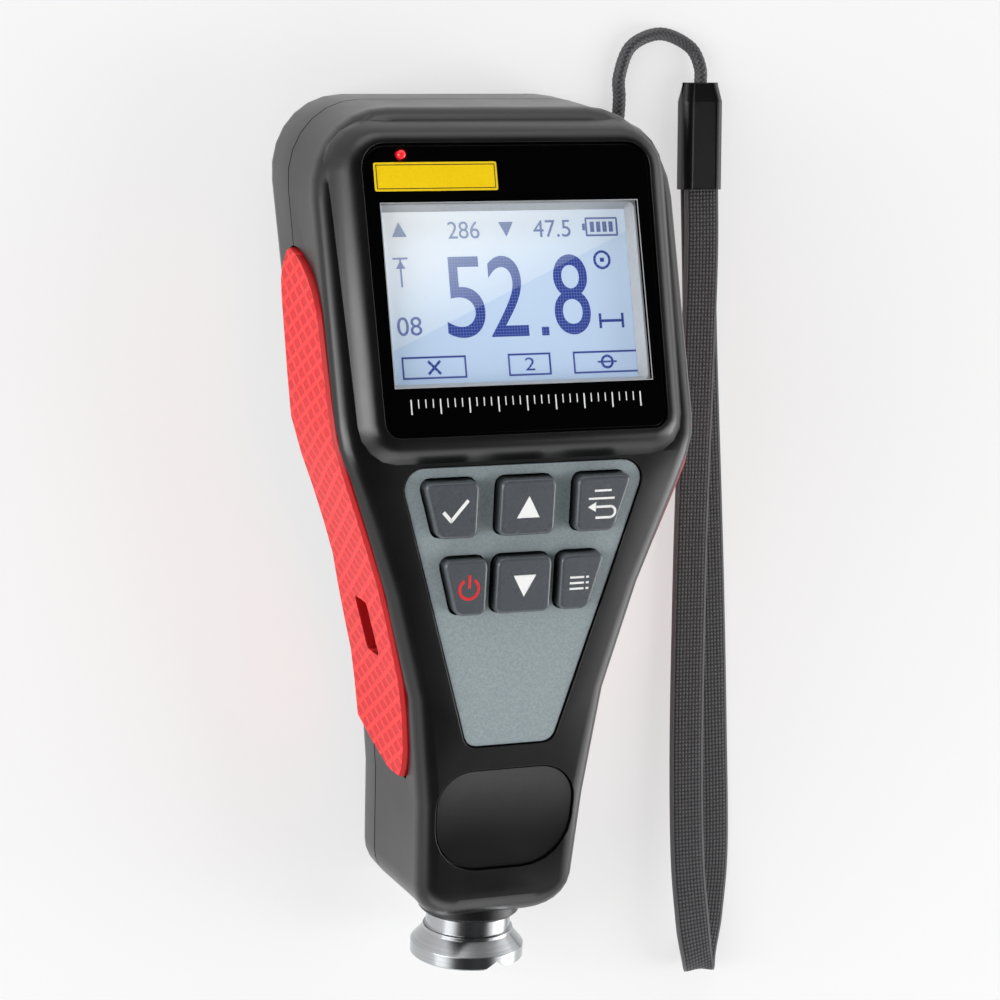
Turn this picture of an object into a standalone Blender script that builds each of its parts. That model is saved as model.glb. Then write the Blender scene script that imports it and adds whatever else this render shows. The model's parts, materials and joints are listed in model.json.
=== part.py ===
"""Hand-held coating thickness gauge with a wrist lanyard, built from its separate pieces.

The gauge is drawn in its own frame, in metres: x to the right, y along the probe's axis towards
the display, z out of the keypad, with z = 0 on the probe's axis. An empty lays it on its back, so
that it touches the table with the head's rear edge and with the foot of the handle. The lanyard
lies on the same table.
"""

import math

import bmesh
import bpy
from mathutils import Matrix, Vector

# Clearances between pieces
GAP = 0.0003
BATTERY_GAP = 0.00035

# Fineness of round shapes
ARC_SAG = 0.00005
FINEST_ARC_STEP = math.radians(15)
COARSEST_ARC_STEP = math.radians(30)
TURN_SEGMENTS = 32
SMALL_SEGMENTS = 14

# Plan outline of the housing: half widths, places along y and corner radii
HEAD_HALF_WIDTH = 0.0315
HEAD_TOP_Y = 0.0581
HEAD_RADIUS = 0.0140
NECK_HALF_WIDTH = 0.0312
NECK_Y = 0.0068
NECK_RADIUS = 0.0180
WAIST_HALF_WIDTH = 0.0156
WAIST_Y = -0.0348
WAIST_RADIUS = 0.1200
FOOT_HALF_WIDTH = 0.0134
FOOT_Y = -0.0743
FOOT_RADIUS = 0.0072

# Front profile: the head leans back from the handle
HANDLE_DECK_Y = -0.0050
HANDLE_DECK_Z = 0.0139
KEYPAD_TILT = math.radians(0.6)
HEAD_DECK_Y = 0.0065
HEAD_DECK_Z = 0.0132
HEAD_DECK_TILT = math.radians(20.6)
TOE_DECK_Y = -0.0500
TOE_DECK_Z = 0.0134
TOE_DECK_TILT = math.radians(4.4)
KNEE_BLEND = 0.0012

# Rear profile: the handle's plane and the steeper one of the head
REAR_HANDLE_Y = -0.0060
REAR_HANDLE_Z = -0.0130
REAR_HANDLE_TILT = math.radians(3.58)
REAR_HEAD_Y = 0.0348
REAR_HEAD_Z = -0.0225
REAR_HEAD_TILT = math.radians(22.4)
REAR_BLEND = 0.0012

# Walls, edges and parting of the two shells
WALL = 0.0022
DECK_WALL = 0.0020
PARTING_BELOW_DECK = 0.0147
PARTING_ABOVE_REAR = 0.0072
PARTING_BLEND = 0.0020
LIP_HEIGHT = 0.0012
LIP_SHOULDER = 0.0010
SIDE_INSET = 0.0003
REAR_DRAFT = 0.0005
SHOULDER_WIDTH = 0.0026
SHOULDER_DEPTH = 0.0026
FOOT_SHOULDER_WIDTH = 0.0043
FOOT_SHOULDER_DEPTH = 0.0058
REAR_HEAD_ROUND = 0.0025
REAR_HANDLE_ROUND = 0.0022
REST_LAND_DEPTH = 0.0003

# Display: its plane leans back more gently than the head around it
DISPLAY_Y = 0.0312
DISPLAY_Z = 0.0071
DISPLAY_TILT = math.radians(19)
WINDOW_LENGTH = 0.0465
WINDOW_TOP_HALF = 0.0250
WINDOW_BOTTOM_HALF = 0.0244
WINDOW_TOP_RADIUS = 0.0038
WINDOW_BOTTOM_RADIUS = 0.0023
WINDOW_THICKNESS = 0.0010
APERTURE_HALF_WIDTH = 0.0224
APERTURE_LENGTH = 0.0293
APERTURE_OFFSET = -0.0008
FRAME_RIM = 0.0010
FRAME_DEPTH = 0.0020
FRAME_BEVEL = 0.00085
PANEL_THICKNESS = 0.0030
DISPLAY_BOARD_THICKNESS = 0.0012
LAMP_X = -0.0183
LAMP_Y = 0.0217
LAMP_RADIUS = 0.00075
# Outward step and height over the glass of each line of the raised surround
SURROUND_STEPS = (
    (0.0006, 0.0003),
    (0.0016, 0.0001),
    (0.0026, -0.0007),
    (0.0034, -0.0017),
    (0.0042, -0.0030),
    (0.0050, -0.0045),
)
SURROUND_DEPTH = 0.0052

# Keypad
KEYPAD_TOP_Y = 0.0036
KEYPAD_BOTTOM_Y = -0.0432
KEYPAD_TOP_HALF = 0.0218
KEYPAD_BOTTOM_HALF = 0.0075
KEYPAD_TOP_RADIUS = 0.0032
KEYPAD_BOTTOM_RADIUS = 0.0022
KEYPAD_RECESS = 0.00035
KEYPAD_THICKNESS = 0.00055
KEY_HEIGHT = 0.0022
KEY_LENGTH = 0.0093
KEY_CORNER = 0.0013
KEY_CHAMFER = 0.0008
KEY_FLANGE = 0.0007
KEY_FLANGE_THICKNESS = 0.0010
KEY_STEM_RADIUS = 0.0020
KEY_TRAVEL = 0.0008
KEY_ROW_1 = 0.0021
KEY_ROW_2 = -0.0108
MIDDLE_KEY_HALF = 0.00485
# Inner edge, outer edge at the top and outer edge at the bottom of the slanted keys
ROW_1_SIDE_KEY = (0.0086, 0.0182, 0.0154)
ROW_2_SIDE_KEY = (0.0064, 0.0142, 0.0116)

# Thumb pad
PAD_TOP_Y = -0.0476
PAD_BOTTOM_Y = -0.0647
PAD_TOP_HALF = 0.0123
PAD_BOTTOM_HALF = 0.0116
PAD_TOP_RADIUS = 0.0060
PAD_BOTTOM_RADIUS = 0.0080
PAD_RECESS = 0.00045
PAD_THICKNESS = 0.0006

# Rubber grips
GRIP_TOP_Y = 0.0350
GRIP_BOTTOM_Y = -0.0510
GRIP_PROUD = 0.0006
GRIP_SEAT = 0.0014
GRIP_EDGE = 0.0006
GRIP_TOP_Z = -0.0123
GRIP_TIP_Z = 0.0023
GRIP_ARCH = 0.0095
GRIP_TIP_LENGTH = 0.0065
# Height of the grip's rear edge at places along y
GRIP_REAR_EDGE = (
    (0.0300, -0.0167),
    (0.0100, -0.0104),
    (0.0030, -0.0090),
    (-0.0060, -0.0084),
    (-0.0140, -0.0093),
    (-0.0200, -0.0115),
    (-0.0300, -0.0130),
    (-0.0380, -0.0137),
    (-0.0460, -0.0137),
)
# Depth of the grip's front edge below the deck at places along y
GRIP_FRONT_DEPTH = (
    (0.0330, 0.0042),
    (0.0200, 0.0035),
    (0.0040, 0.0022),
    (-0.0100, 0.0026),
    (-0.0260, 0.0037),
    (-0.0450, 0.0055),
)

# USB opening in the left side
USB_Y = -0.0257
USB_Z = -0.0008
USB_LENGTH = 0.0086
USB_HEIGHT = 0.0046
USB_SOCKET_DEPTH = 0.0036
USB_SOCKET_WALL = 0.0004

# Probe, along y
NECK_RING_RADIUS = 0.0085
NECK_RING_BOTTOM_Y = -0.0759
NECK_RING_TOP_Y = -0.0686
NECK_RING_FLANGE = 0.0096
NECK_FLANGE_BOTTOM_Y = -0.0699
COLLAR_RADIUS = 0.0071
COLLAR_BORE = 0.0035
COLLAR_FLANGE_RADIUS = 0.0082
COLLAR_FLANGE_THICKNESS = 0.0015
COLLAR_LEDGE_Y = -0.0788
COLLAR_LEDGE_RADIUS = 0.0076
COLLAR_LEDGE_HEIGHT = 0.0006
COLLAR_RIM_Y = -0.0816
COLLAR_RIM_RADIUS = 0.0095
COLLAR_BOTTOM_Y = -0.0838
COLLAR_RIM_EDGE = 0.0002
NOTCH_HALF_WIDTH = 0.0022
NOTCH_DEPTH = 0.0013
NOTCH_ANGLE = math.radians(62)
PROBE_TRAVEL = 0.0022
CORE_RADIUS = 0.0031
SPRING_RADIUS = 0.0056
SPRING_WIRE = 0.0004
SPRING_TURNS = 5
SPRING_FREE_LENGTH = 0.0078
GUIDE_THICKNESS = 0.0014
GUIDE_HALF_WIDTH = 0.0112
GUIDE_BOTTOM_Z = -0.0137
GUIDE_TOP_Z = 0.0098

# Battery bay, measured from the rear face inwards
CELL_RADIUS = 0.00525
CELL_LENGTH = 0.0445
CELL_NUB_RADIUS = 0.0019
CELL_NUB_LENGTH = 0.0008
CELL_TOP_Y = -0.0048
DOOR_HALF_WIDTH = 0.0113
DOOR_TOP_Y = 0.0
DOOR_BOTTOM_Y = -0.0556
DOOR_THICKNESS = 0.0018
DOOR_RADIUS = 0.0017
DOOR_HOOK_HALF = 0.0070
DOOR_HOOK_REACH = 0.0022
DOOR_HOOK_THICKNESS = 0.0012
DOOR_SCREW_SINK = 0.0008
CONTACT_THICKNESS = 0.0004
CONTACT_SIZE = 0.0072
TRAY_WALL = 0.0008
TRAY_FLOOR = 0.0012
TRAY_POST_RADIUS = 0.0012
SEAT_PAD_THICKNESS = 0.0025

# Boards and what is on them
MAIN_BOARD_Z = 0.0025
BOARD_THICKNESS = 0.0016
BOARD_MARGIN = 0.0033
BOARD_TOP_Y = 0.0070
BOARD_BOTTOM_Y = -0.0552
BOARD_HALF_LIMIT = 0.0170
MAT_THICKNESS = 0.0012
MAT_TOP_Y = 0.0022
MAT_BOTTOM_Y = -0.0222
MAT_TOP_HALF = 0.0172
MAT_BOTTOM_HALF = 0.0135
DOME_RADIUS = 0.0028
DOME_TOP_RADIUS = 0.0023
DISPLAY_BOARD_HALF = 0.0240
DISPLAY_BOARD_TOP = 0.0155
DISPLAY_BOARD_BOTTOM = -0.0185
BOARD_POST_RADIUS = 0.0016
RIBBON_HALF_WIDTH = 0.0060
RIBBON_THICKNESS = 0.00025
BUZZER_RADIUS = 0.0045
BUZZER_HEIGHT = 0.0025

# Case screws
CASE_SCREW_HEAD_PLACE = (0.0180, 0.0528)
CASE_SCREW_FOOT_PLACE = (0.0092, -0.0610)
SCREW_RADIUS = 0.0010
SCREW_HEAD_RADIUS = 0.0019
SCREW_HEAD_HEIGHT = 0.0012
SCREW_REACH = 0.0050
SCREW_SINK = 0.0016
BOSS_RADIUS = 0.0023
DOOR_SCREW_Y = -0.0534

# Lanyard eyelet in the rear shell's right corner
EYELET_ANGLE = math.radians(15)
EYELET_BAR_INSET = 0.0035
EYELET_BAR_RADIUS = 0.0007
EYELET_HALF_WIDTH = 0.0020
EYELET_WALL = 0.0014
EYELET_DEPTH = 0.0066
EYELET_ABOVE_REAR = 0.0022
EYELET_ROOF = 0.0015

# Lanyard on the table, in the lying frame before it is centred
CORD_RADIUS = 0.00115
CONNECTOR_X = 0.0489
CONNECTOR_TOP_Y = 0.0623
CONNECTOR_LENGTH = 0.0184
CONNECTOR_WIDTH = 0.0077
CONNECTOR_THICKNESS = 0.0040
CONNECTOR_TAPER = 0.0032
CONNECTOR_TOP_SCALE = 0.86
CONNECTOR_EDGE = 0.0009
TABLE_GAP = 0.0001
STRAP_WIDTH = 0.0064
STRAP_THICKNESS = 0.0009
STRAP_END_GAP = 0.0005
CORD_ROUTE = (
    (0.0322, 0.0528, 0.0024),
    (0.0334, 0.0561, 0.0016),
    (0.0338, 0.0597, 0.00127),
    (0.0338, 0.0635, 0.00125),
    (0.0360, 0.0685, 0.00125),
    (0.0415, 0.0706, 0.00125),
    (0.0470, 0.0685, 0.0014),
    (0.0489, 0.0650, 0.0019),
)
STRAP_ROUTE = (
    (0.0491, 0.0333, 0.0029),
    (0.0489, 0.0159, 0.0026),
    (0.0482, -0.0105, 0.0024),
    (0.0478, -0.0281, 0.0026),
    (0.0473, -0.0531, 0.0033),
    (0.0472, -0.0728, 0.0044),
    (0.0477, -0.0845, 0.0056),
    (0.0489, -0.0918, 0.0054),
    (0.0504, -0.0941, 0.0034),
    (0.0518, -0.0918, 0.0012),
    (0.0531, -0.0845, 0.0006),
    (0.0539, -0.0728, 0.0006),
    (0.0533, -0.0503, 0.0006),
    (0.0525, -0.0282, 0.0006),
    (0.0517, -0.0105, 0.0006),
    (0.0504, 0.0159, 0.0006),
    (0.0497, 0.0333, 0.0008),
)

# Colour, roughness and metallic value of each material
MATERIALS = {
    "shell_black": ("#1d1d1e", 0.55, 0.0),
    "grip_red": ("#e0141a", 0.60, 0.0),
    "pad_black": ("#2b2b2c", 0.50, 0.0),
    "window_black": ("#050506", 0.08, 0.0),
    "frame_grey": ("#9a9ea2", 0.40, 0.0),
    "display_blue": ("#d6e4f4", 0.35, 0.0),
    "lamp_red": ("#e01010", 0.15, 0.0),
    "panel_grey": ("#8d9a9b", 0.55, 0.0),
    "key_grey": ("#575c60", 0.50, 0.0),
    "mat_grey": ("#b9bcbd", 0.70, 0.0),
    "board_green": ("#1f6a3a", 0.45, 0.0),
    "inner_black": ("#161617", 0.60, 0.0),
    "contact_metal": ("#c9b27a", 0.30, 1.0),
    "screw_steel": ("#9da0a3", 0.35, 1.0),
    "probe_steel": ("#d5d7d9", 0.12, 1.0),
    "cell_blue": ("#2f4f8a", 0.35, 0.0),
    "cord_black": ("#262627", 0.80, 0.0),
    "strap_black": ("#2c2c2d", 0.85, 0.0),
    "connector_black": ("#1f1f20", 0.45, 0.0),
}


def clear_scene():
    for item in list(bpy.data.objects):
        bpy.data.objects.remove(item, do_unlink=True)


def linear(channel):
    """One sRGB channel, 0 to 1, as a linear value."""
    if channel <= 0.04045:
        return channel / 12.92
    return ((channel + 0.055) / 1.055) ** 2.4


def material(name):
    """The named Principled material, made once."""
    found = bpy.data.materials.get(name)
    if found:
        return found
    code, roughness, metallic = MATERIALS[name]
    channels = [int(code[i : i + 2], 16) / 255 for i in (1, 3, 5)]
    made = bpy.data.materials.new(name)
    made.use_nodes = True
    shader = made.node_tree.nodes["Principled BSDF"]
    shader.inputs["Base Color"].default_value = (*[linear(c) for c in channels], 1)
    shader.inputs["Roughness"].default_value = roughness
    shader.inputs["Metallic"].default_value = metallic
    return made


def smooth_step(value, start, end):
    """0 before start, 1 after end, eased between them; start may be the larger."""
    share = min(max((value - start) / (end - start), 0.0), 1.0)
    return share * share * (3 - 2 * share)


def lower_of(a, b, blend):
    """The lower of two heights, with a rounded change from one to the other."""
    return 0.5 * (a + b - math.sqrt((a - b) ** 2 + blend * blend))


def table_value(table, y):
    """Straight-line value at y of a table of (y, value) that runs down in y."""
    if y >= table[0][0]:
        return table[0][1]
    for (y0, v0), (y1, v1) in zip(table, table[1:]):
        if y >= y1:
            return v0 + (v1 - v0) * (y0 - y) / (y0 - y1)
    return table[-1][1]


# Profiles and outlines of the housing


def head_deck_line(y):
    return HEAD_DECK_Z - (y - HEAD_DECK_Y) * math.tan(HEAD_DECK_TILT)


def deck_z(y):
    """Height of the front surface at y."""
    handle = HANDLE_DECK_Z + (y - HANDLE_DECK_Y) * math.tan(KEYPAD_TILT)
    toe = TOE_DECK_Z + (y - TOE_DECK_Y) * math.tan(TOE_DECK_TILT)
    return lower_of(head_deck_line(y), lower_of(handle, toe, KNEE_BLEND / 2), KNEE_BLEND)


def rear_handle_line(y):
    return REAR_HANDLE_Z + (y - REAR_HANDLE_Y) * math.tan(REAR_HANDLE_TILT)


def rear_z(y):
    """Height of the rear surface at y."""
    head = REAR_HEAD_Z - (y - REAR_HEAD_Y) * math.tan(REAR_HEAD_TILT)
    return lower_of(rear_handle_line(y), head, REAR_BLEND)


def parting_z(y):
    """Height of the joint between the two shells at y."""
    handle = rear_handle_line(y) + PARTING_ABOVE_REAR
    return lower_of(handle, head_deck_line(y) - PARTING_BELOW_DECK, PARTING_BLEND)


def shoulder(point, normal):
    """Width and depth of the rounded front edge at a point of the outline."""
    foot = max(-normal.y, 0.0) ** 2
    width = SHOULDER_WIDTH + (FOOT_SHOULDER_WIDTH - SHOULDER_WIDTH) * foot
    depth = SHOULDER_DEPTH + (FOOT_SHOULDER_DEPTH - SHOULDER_DEPTH) * foot
    return width, depth


def rear_round(y):
    """Radius of the rounded rear edge at y."""
    head = smooth_step(y, -0.010, 0.012)
    return REAR_HANDLE_ROUND + (REAR_HEAD_ROUND - REAR_HANDLE_ROUND) * head


def arc_step(radius):
    """Angle between the points of an arc that keeps its chords close to it."""
    if radius <= ARC_SAG:
        return COARSEST_ARC_STEP
    step = 2 * math.acos(1 - ARC_SAG / radius)
    return min(max(step, FINEST_ARC_STEP), COARSEST_ARC_STEP)


def rounded(corners, stations=(), closed=True):
    """Points and outward normals along a clockwise outline.

    Each corner is (x, y, radius). An open outline leaves its first and last corner out. Straight
    stretches get a point at each y in stations.
    """
    count = len(corners)
    arcs = []
    for i in range(count) if closed else range(1, count - 1):
        corner = Vector(corners[i][:2])
        radius = corners[i][2]
        heading = (corner - Vector(corners[i - 1][:2])).normalized()
        onward = (Vector(corners[(i + 1) % count][:2]) - corner).normalized()
        turn = math.atan2(heading.x * onward.y - heading.y * onward.x, heading.dot(onward))
        side = 1.0 if turn > 0 else -1.0
        left = Vector((-heading.y, heading.x))
        start = corner - heading * radius * math.tan(abs(turn) / 2)
        centre = start + left * radius * side
        steps = max(2, math.ceil(abs(turn) / arc_step(radius)))
        arc = []
        for k in range(steps + 1):
            normal = left.copy()
            normal.rotate(Matrix.Rotation(turn * k / steps, 2))
            arc.append((centre - normal * radius * side, normal))
        arcs.append(arc)
    outline = []
    for i, arc in enumerate(arcs):
        outline.extend(arc)
        if i + 1 == len(arcs) and not closed:
            break
        first, normal = arc[-1]
        last = arcs[(i + 1) % len(arcs)][0][0]
        down = last.y < first.y
        inside = [y for y in stations if min(first.y, last.y) + GAP < y < max(first.y, last.y) - GAP]
        for y in sorted(inside, reverse=down):
            outline.append((first.lerp(last, (y - first.y) / (last.y - first.y)), normal))
    return outline


def mirrored(right):
    """A whole outline from its right half, top to bottom."""
    left = [(Vector((-p.x, p.y)), Vector((-n.x, n.y))) for p, n in reversed(right)]
    return right + left


HOUSING_STATIONS = (0.020, 0.012, 0.0, -0.005, -0.012, -0.042, -0.050, -0.058)


def housing_half():
    """Right half of the housing's plan outline, top to bottom."""
    corners = (
        (0.0, HEAD_TOP_Y, 0.0),
        (HEAD_HALF_WIDTH, HEAD_TOP_Y, HEAD_RADIUS),
        (NECK_HALF_WIDTH, NECK_Y, NECK_RADIUS),
        (WAIST_HALF_WIDTH, WAIST_Y, WAIST_RADIUS),
        (FOOT_HALF_WIDTH, FOOT_Y, FOOT_RADIUS),
        (0.0, FOOT_Y, 0.0),
    )
    return rounded(corners, HOUSING_STATIONS, closed=False)


def side_at(y):
    """Point and outward normal of the housing's right side at y."""
    half = housing_half()
    for (p, n), (q, m) in zip(half, half[1:]):
        if p.y >= y > q.y:
            share = (p.y - y) / (p.y - q.y)
            return p.lerp(q, share), n.lerp(m, share).normalized()
    return half[-1]


def half_width(y, inset):
    """Half of the housing's width at y, inset from its outline."""
    point, normal = side_at(y)
    return point.x - inset / max(normal.x, 0.5)


# Mesh helpers


def add_ring(bm, outline, inset, height):
    """Vertices of an outline drawn in by inset(point, normal), at height(point, x, y)."""
    ring = []
    for point, normal in outline:
        place = point - normal * inset(point, normal)
        ring.append(bm.verts.new((place.x, place.y, height(point, normal, place.y))))
    return ring


def bridge(bm, first, second):
    count = len(first)
    for i in range(count):
        j = (i + 1) % count
        bm.faces.new((first[i], first[j], second[j], second[i]))


def ruled_cap(bm, ring):
    """Closes a mirror-symmetric ring with strips that run straight across x."""
    last = len(ring) - 1
    for i in range(len(ring) // 2 - 1):
        bm.faces.new((ring[i], ring[i + 1], ring[last - i - 1], ring[last - i]))


def stack(rings, cap=ruled_cap):
    """A closed solid from matching rings; each is a list of (x, y, z)."""
    bm = bmesh.new()
    rows = [[bm.verts.new(place) for place in ring] for ring in rings]
    for first, second in zip(rows, rows[1:]):
        bridge(bm, first, second)
    if cap is ruled_cap:
        ruled_cap(bm, rows[0])
        ruled_cap(bm, rows[-1])
    else:
        bm.faces.new(rows[0])
        bm.faces.new(rows[-1])
    bmesh.ops.recalc_face_normals(bm, faces=bm.faces)
    return bm


def flat_ring(outline, inset, z):
    return [((p - n * inset).x, (p - n * inset).y, z) for p, n in outline]


def prism(outline, levels):
    """A solid from an outline and (inset, z) levels."""
    return stack([flat_ring(outline, inset, z) for inset, z in levels], cap=None)


def box(low, high):
    """An axis-aligned box between two corners."""
    bm = bmesh.new()
    size = [b - a for a, b in zip(low, high)]
    centre = [(a + b) / 2 for a, b in zip(low, high)]
    place = Matrix.Translation(centre) @ Matrix.Diagonal((*size, 1))
    bmesh.ops.create_cube(bm, size=1.0, matrix=place)
    return bm


def turned(profile, segments=TURN_SEGMENTS, closed=False):
    """A solid of revolution about y from (radius, y) points; a closed profile leaves a bore."""
    bm = bmesh.new()
    rows = []
    for radius, y in profile:
        if radius == 0:
            rows.append([bm.verts.new((0, y, 0))])
            continue
        row = []
        for k in range(segments):
            angle = 2 * math.pi * k / segments
            row.append(bm.verts.new((radius * math.cos(angle), y, radius * math.sin(angle))))
        rows.append(row)
    pairs = list(zip(rows, rows[1:]))
    if closed:
        pairs.append((rows[-1], rows[0]))
    for first, second in pairs:
        if len(first) == 1 or len(second) == 1:
            tip, row = (first[0], second) if len(first) == 1 else (second[0], first)
            for i in range(segments):
                bm.faces.new((tip, row[i], row[(i + 1) % segments]))
        else:
            bridge(bm, first, second)
    bmesh.ops.recalc_face_normals(bm, faces=bm.faces)
    return bm


def post(x, y, low, high, radius, top_radius=None, segments=SMALL_SEGMENTS):
    """An upright cylinder or cone between two heights."""
    upper = radius if top_radius is None else top_radius
    bm = turned(((0, low), (radius, low), (upper, high), (0, high)), segments)
    bm.transform(Matrix.Translation((x, y, 0)) @ Matrix.Rotation(math.pi / 2, 4, "X"))
    return bm


def swept(path, section):
    """A tube: section(i, tangent) gives the points around path point i."""
    bm = bmesh.new()
    rows = []
    for i, place in enumerate(path):
        before = path[max(i - 1, 0)]
        after = path[min(i + 1, len(path) - 1)]
        tangent = (after - before).normalized()
        rows.append([bm.verts.new(place + offset) for offset in section(i, tangent)])
    for first, second in zip(rows, rows[1:]):
        bridge(bm, first, second)
    bm.faces.new(rows[0])
    bm.faces.new(rows[-1])
    bmesh.ops.recalc_face_normals(bm, faces=bm.faces)
    return bm


def smooth_route(points, per_span):
    """Points along a smooth curve through the given ones."""
    ends = [points[0] * 2 - points[1], *points, points[-1] * 2 - points[-2]]
    route = []
    for a, b, c, d in zip(ends, ends[1:], ends[2:], ends[3:]):
        for k in range(per_span):
            t = k / per_span
            place = 2 * b + (c - a) * t
            place += (2 * a - 5 * b + 4 * c - d) * t * t + (3 * b - a - 3 * c + d) * t**3
            route.append(place / 2)
    route.append(points[-1].copy())
    return route


def scratch_object(bm):
    mesh = bpy.data.meshes.new("scratch")
    bm.to_mesh(mesh)
    bm.free()
    made = bpy.data.objects.new("scratch", mesh)
    bpy.context.scene.collection.objects.link(made)
    return made


def combined(base, steps):
    """The base after each (operation, tool) Boolean in turn."""
    target = scratch_object(base)
    tools = [scratch_object(tool) for _, tool in steps]
    for (operation, _), tool in zip(steps, tools):
        modifier = target.modifiers.new(operation, "BOOLEAN")
        modifier.operation = operation
        modifier.solver = "EXACT"
        modifier.object = tool
    graph = bpy.context.evaluated_depsgraph_get()
    result = bmesh.new()
    result.from_object(target, graph)
    for item in (target, *tools):
        bpy.data.objects.remove(item, do_unlink=True)
    bmesh.ops.dissolve_degenerate(result, dist=1e-7, edges=result.edges)
    return result


def moved(bm, matrix):
    bm.transform(matrix)
    return bm


def piece(name, bm, coat, parent, place=None, smooth=30):
    """A named object from a bmesh, under its parent empty."""
    mesh = bpy.data.meshes.new(name)
    bm.to_mesh(mesh)
    bm.free()
    mesh.materials.append(material(coat))
    mesh.shade_smooth()
    mesh.set_sharp_from_angle(angle=math.radians(smooth))
    made = bpy.data.objects.new(name, mesh)
    bpy.context.scene.collection.objects.link(made)
    made.parent = parent
    if place is not None:
        made.location = place
    return made


def empty(name, parent=None, matrix=None):
    made = bpy.data.objects.new(name, None)
    bpy.context.scene.collection.objects.link(made)
    made.parent = parent
    if matrix is not None:
        made.matrix_local = matrix
    return made


def display_matrix():
    place = Matrix.Translation((0, DISPLAY_Y, DISPLAY_Z))
    return place @ Matrix.Rotation(-DISPLAY_TILT, 4, "X")


def keypad_matrix():
    place = Matrix.Translation((0, HANDLE_DECK_Y, HANDLE_DECK_Z))
    return place @ Matrix.Rotation(KEYPAD_TILT, 4, "X")


def bay_matrix():
    """Frame of the battery bay: z = 0 on the rear surface of the handle."""
    place = Matrix.Translation((0, 0, rear_handle_line(0)))
    return place @ Matrix.Rotation(REAR_HANDLE_TILT, 4, "X")


def eyelet_matrix():
    """Frame of the lanyard eyelet: x points out of the head's right corner."""
    centre = Vector((HEAD_HALF_WIDTH - HEAD_RADIUS, HEAD_TOP_Y - HEAD_RADIUS, 0))
    turn = Matrix.Rotation(EYELET_ANGLE, 4, "Z")
    corner = centre + turn @ Vector((HEAD_RADIUS - REAR_DRAFT, 0, 0))
    centre.z = rear_z(corner.y) + EYELET_ABOVE_REAR
    return Matrix.Translation(centre) @ turn


# Housing


def shell_ring(outline, inset, height):
    """One ring of a shell: inset(point, normal) and height(point, normal, y)."""
    ring = []
    for point, normal in outline:
        place = point - normal * inset(point, normal)
        ring.append((place.x, place.y, height(point, normal, place.y)))
    return ring


def edge_steps():
    """Angles of the rounded edges, from the flat to the wall."""
    count = 4
    return [math.pi / 2 * k / count for k in range(count + 1)]


def front_outer(outline):
    """Outside rings of the front shell, from the deck's edge down to the parting."""
    rings = []
    for angle in edge_steps():
        rings.append(
            shell_ring(
                outline,
                lambda p, n, a=angle: shoulder(p, n)[0] * (1 - math.sin(a)),
                lambda p, n, y, a=angle: deck_z(y) - shoulder(p, n)[1] * (1 - math.cos(a)),
            )
        )
    for share, drop in ((0.25, 0.0015), (0.85, 0.0040)):
        rings.append(
            shell_ring(
                outline,
                lambda p, n, s=share: SIDE_INSET * s,
                lambda p, n, y, d=drop: deck_z(y) - shoulder(p, n)[1] - d,
            )
        )
    rings.append(shell_ring(outline, lambda p, n: SIDE_INSET, lambda p, n, y: parting_z(y)))
    return rings


def front_inner(outline):
    """Inside rings of the front shell, from the lip up to the deck's underside."""
    wall = SIDE_INSET + WALL
    rings = []
    for angle in reversed(edge_steps()[::2] + [math.pi / 2]):
        rings.append(
            shell_ring(
                outline,
                lambda p, n, a=angle: wall + (shoulder(p, n)[0] - WALL) * (1 - math.sin(a)),
                lambda p, n, y, a=angle: deck_z(y)
                - DECK_WALL
                - (shoulder(p, n)[1] - DECK_WALL) * (1 - math.cos(a)),
            )
        )
    return rings


def front_body():
    outline = mirrored(housing_half())
    lip = SIDE_INSET + LIP_SHOULDER
    wall = SIDE_INSET + WALL
    rings = front_outer(outline)
    rings.append(shell_ring(outline, lambda p, n: lip, lambda p, n, y: parting_z(y)))
    rings.append(shell_ring(outline, lambda p, n: lip, lambda p, n, y: parting_z(y) - LIP_HEIGHT))
    rings.append(shell_ring(outline, lambda p, n: wall, lambda p, n, y: parting_z(y) - LIP_HEIGHT))
    rings.extend(front_inner(outline))
    return stack(rings)


def rear_body():
    outline = mirrored(housing_half())
    wall = SIDE_INSET + WALL
    rebate = SIDE_INSET + LIP_SHOULDER - GAP
    rings = []
    for angle in edge_steps():
        rings.append(
            shell_ring(
                outline,
                lambda p, n, a=angle: REAR_DRAFT + rear_round(p.y) * (1 - math.sin(a)),
                lambda p, n, y, a=angle: rear_z(y) + rear_round(p.y) * 1.1 * (1 - math.cos(a)),
            )
        )
    rings.append(shell_ring(outline, lambda p, n: SIDE_INSET, lambda p, n, y: parting_z(y) - GAP))
    rings.append(shell_ring(outline, lambda p, n: rebate, lambda p, n, y: parting_z(y) - GAP))
    floor = lambda p, n, y: parting_z(y) - LIP_HEIGHT - 2 * GAP
    rings.append(shell_ring(outline, lambda p, n: rebate, floor))
    rings.append(shell_ring(outline, lambda p, n: wall, floor))
    for angle in reversed(edge_steps()[::2]):
        rings.append(
            shell_ring(
                outline,
                lambda p, n, a=angle: REAR_DRAFT
                + WALL
                + max(rear_round(p.y) - WALL, GAP) * (1 - math.sin(a)),
                lambda p, n, y, a=angle: rear_z(y)
                + WALL
                + max(rear_round(p.y) * 1.1 - WALL, GAP) * (1 - math.cos(a)),
            )
        )
    return stack(rings)


def window_outline():
    half = WINDOW_LENGTH / 2
    corners = (
        (-WINDOW_TOP_HALF, half, WINDOW_TOP_RADIUS),
        (WINDOW_TOP_HALF, half, WINDOW_TOP_RADIUS),
        (WINDOW_BOTTOM_HALF, -half, WINDOW_BOTTOM_RADIUS),
        (-WINDOW_BOTTOM_HALF, -half, WINDOW_BOTTOM_RADIUS),
    )
    return rounded(corners)


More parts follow.
